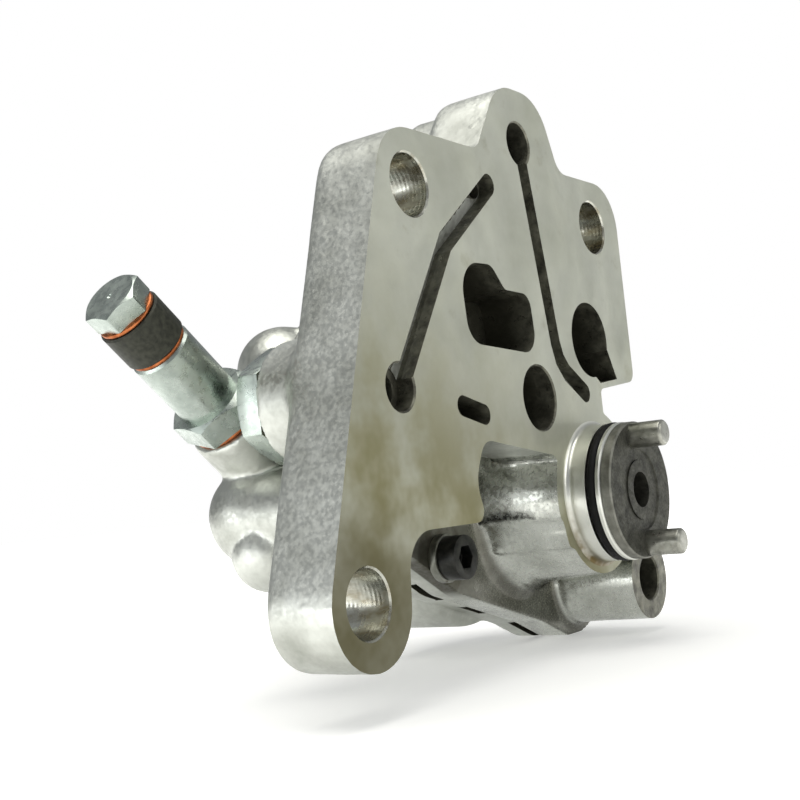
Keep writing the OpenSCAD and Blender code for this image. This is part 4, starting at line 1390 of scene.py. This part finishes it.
@dataclass
class Studio:
    """Pale floor, white backdrop, soft lamps and the camera."""

    camera_at: Spot = (-0.2839, -0.14226, 0.00513)
    right: Spot = (0.57326, -0.81334, -0.09926)
    up: Spot = (0.0, -0.12114, 0.99264)
    ahead: Spot = (0.81937, 0.56904, 0.06945)
    lens: float = 58.83
    sensor: float = 36.0
    floor_gap: float = 0.0002
    floor_size: float = 6.0
    glow_centre: Point = (0.0, -0.02)
    world_strength: float = 0.42
    lamps: tuple[tuple[str, Spot, float, Point, str], ...] = (
        ("overhead", (-0.23, 0.04, 0.89), 6.4, (0.8, 0.8), "fffdf8"),
        ("left", (-0.95, 0.34, 0.05), 2.0, (0.9, 0.16), "fbfdff"),
        ("front", (0.10, -1.00, 0.45), 3.0, (0.6, 0.6), "fffefa"),
        ("right", (0.85, -0.62, 0.35), 0.4, (0.8, 0.5), "fffefa"),
    )
    target: Spot = (-0.035, 0.01, 0.03)

    def camera(self) -> None:
        """Sets the camera at the photograph's viewpoint."""
        data = bpy.data.cameras.new("view")
        data.lens = self.lens
        data.sensor_width = self.sensor
        data.clip_start = 0.01
        data.clip_end = 20.0
        eye = bpy.data.objects.new("view", data)
        bpy.context.scene.collection.objects.link(eye)
        columns = [self.right, self.up, [-v for v in self.ahead], self.camera_at]
        eye.matrix_world = Matrix([[column[row] for column in columns] for row in range(3)] + [[0, 0, 0, 1]])
        bpy.context.scene.camera = eye

    def backdrop(self) -> None:
        """Builds the floor, which shows white to the camera, keeps the shadow and glows in reflections though
        it is no lamp.
        """
        half = self.floor_size / 2
        mesh = bpy.data.meshes.new("floor")
        corners = [(-half, -half, 0.0), (half, -half, 0.0), (half, half, 0.0), (-half, half, 0.0)]
        mesh.from_pydata(corners, [], [(0, 1, 2, 3)])
        floor = add_thing("floor", mesh)
        floor.location = (*self.glow_centre, CAD_BOX[0][2] - self.floor_gap)
        paint = Paint("pale_floor")
        paint.shader.inputs["Base Color"].default_value = linear("f2f2f0")
        paint.shader.inputs["Roughness"].default_value = 0.9
        paint.shader.inputs["Emission Color"].default_value = linear("ffffff")
        rays = paint.add("ShaderNodeLightPath").outputs
        # The floor glows for camera rays as the white backdrop and for glossy rays as a painted reflection,
        # weaker near the pump
        seen = paint.math("MAXIMUM", rays["Is Camera Ray"], rays["Is Glossy Ray"])
        reach = paint.add("ShaderNodeVectorMath", {"operation": "LENGTH"}, {0: paint.where()})
        glow = paint.span(reach.outputs["Value"], 0.08, 0.22, 0.3, 1.0)
        paint.feed("Emission Strength", paint.times(seen, glow))
        mesh.materials.append(paint.material)

    def world(self) -> None:
        """Sets the white surround."""
        world = bpy.data.worlds.new("surround")
        bpy.context.scene.world = world
        world.use_nodes = True
        tree = world.node_tree
        tree.nodes.clear()
        rays = add_node(tree, "ShaderNodeLightPath")
        lit = {"Color": linear("e6e9ec"), "Strength": self.world_strength}
        white = {"Color": linear("ffffff"), "Strength": 1.0}
        links = {0: rays.outputs["Is Camera Ray"]}
        for number, settings in ((1, lit), (2, white)):
            links[number] = add_node(tree, "ShaderNodeBackground", settings).outputs[0]
        mixed = add_node(tree, "ShaderNodeMixShader", links=links)
        add_node(tree, "ShaderNodeOutputWorld", links={"Surface": mixed.outputs[0]})

    def light(self) -> None:
        """Hangs the soft lamps round the pump."""
        for name, spot, power, size, code in self.lamps:
            data = bpy.data.lights.new(name, "AREA")
            data.shape = "RECTANGLE"
            data.size, data.size_y = size
            data.energy = power
            data.color = linear(code)[:3]
            lamp = bpy.data.objects.new(name, data)
            bpy.context.scene.collection.objects.link(lamp)
            lamp.location = spot
            lamp.rotation_euler = (Vector(spot) - Vector(self.target)).to_track_quat("Z", "Y").to_euler()

    def build(self) -> None:
        """Builds the whole studio."""
        self.camera()
        self.backdrop()
        self.world()
        self.light()
        bpy.context.scene.view_settings.view_transform = "Standard"


def main() -> None:
    """Builds the pump's pieces in order and the studio round them."""
    logging.basicConfig(level=logging.INFO, format="%(message)s")
    paints = {key: finish.build() for key, finish in FINISHES.items()}
    for assembly in (FrontCasting(), Spigot(), RearCasting(), OutletStack(), SmallSteel(), Internals()):
        assembly.build(paints)
    Studio().build()


if __name__ == "__main__":
    main()
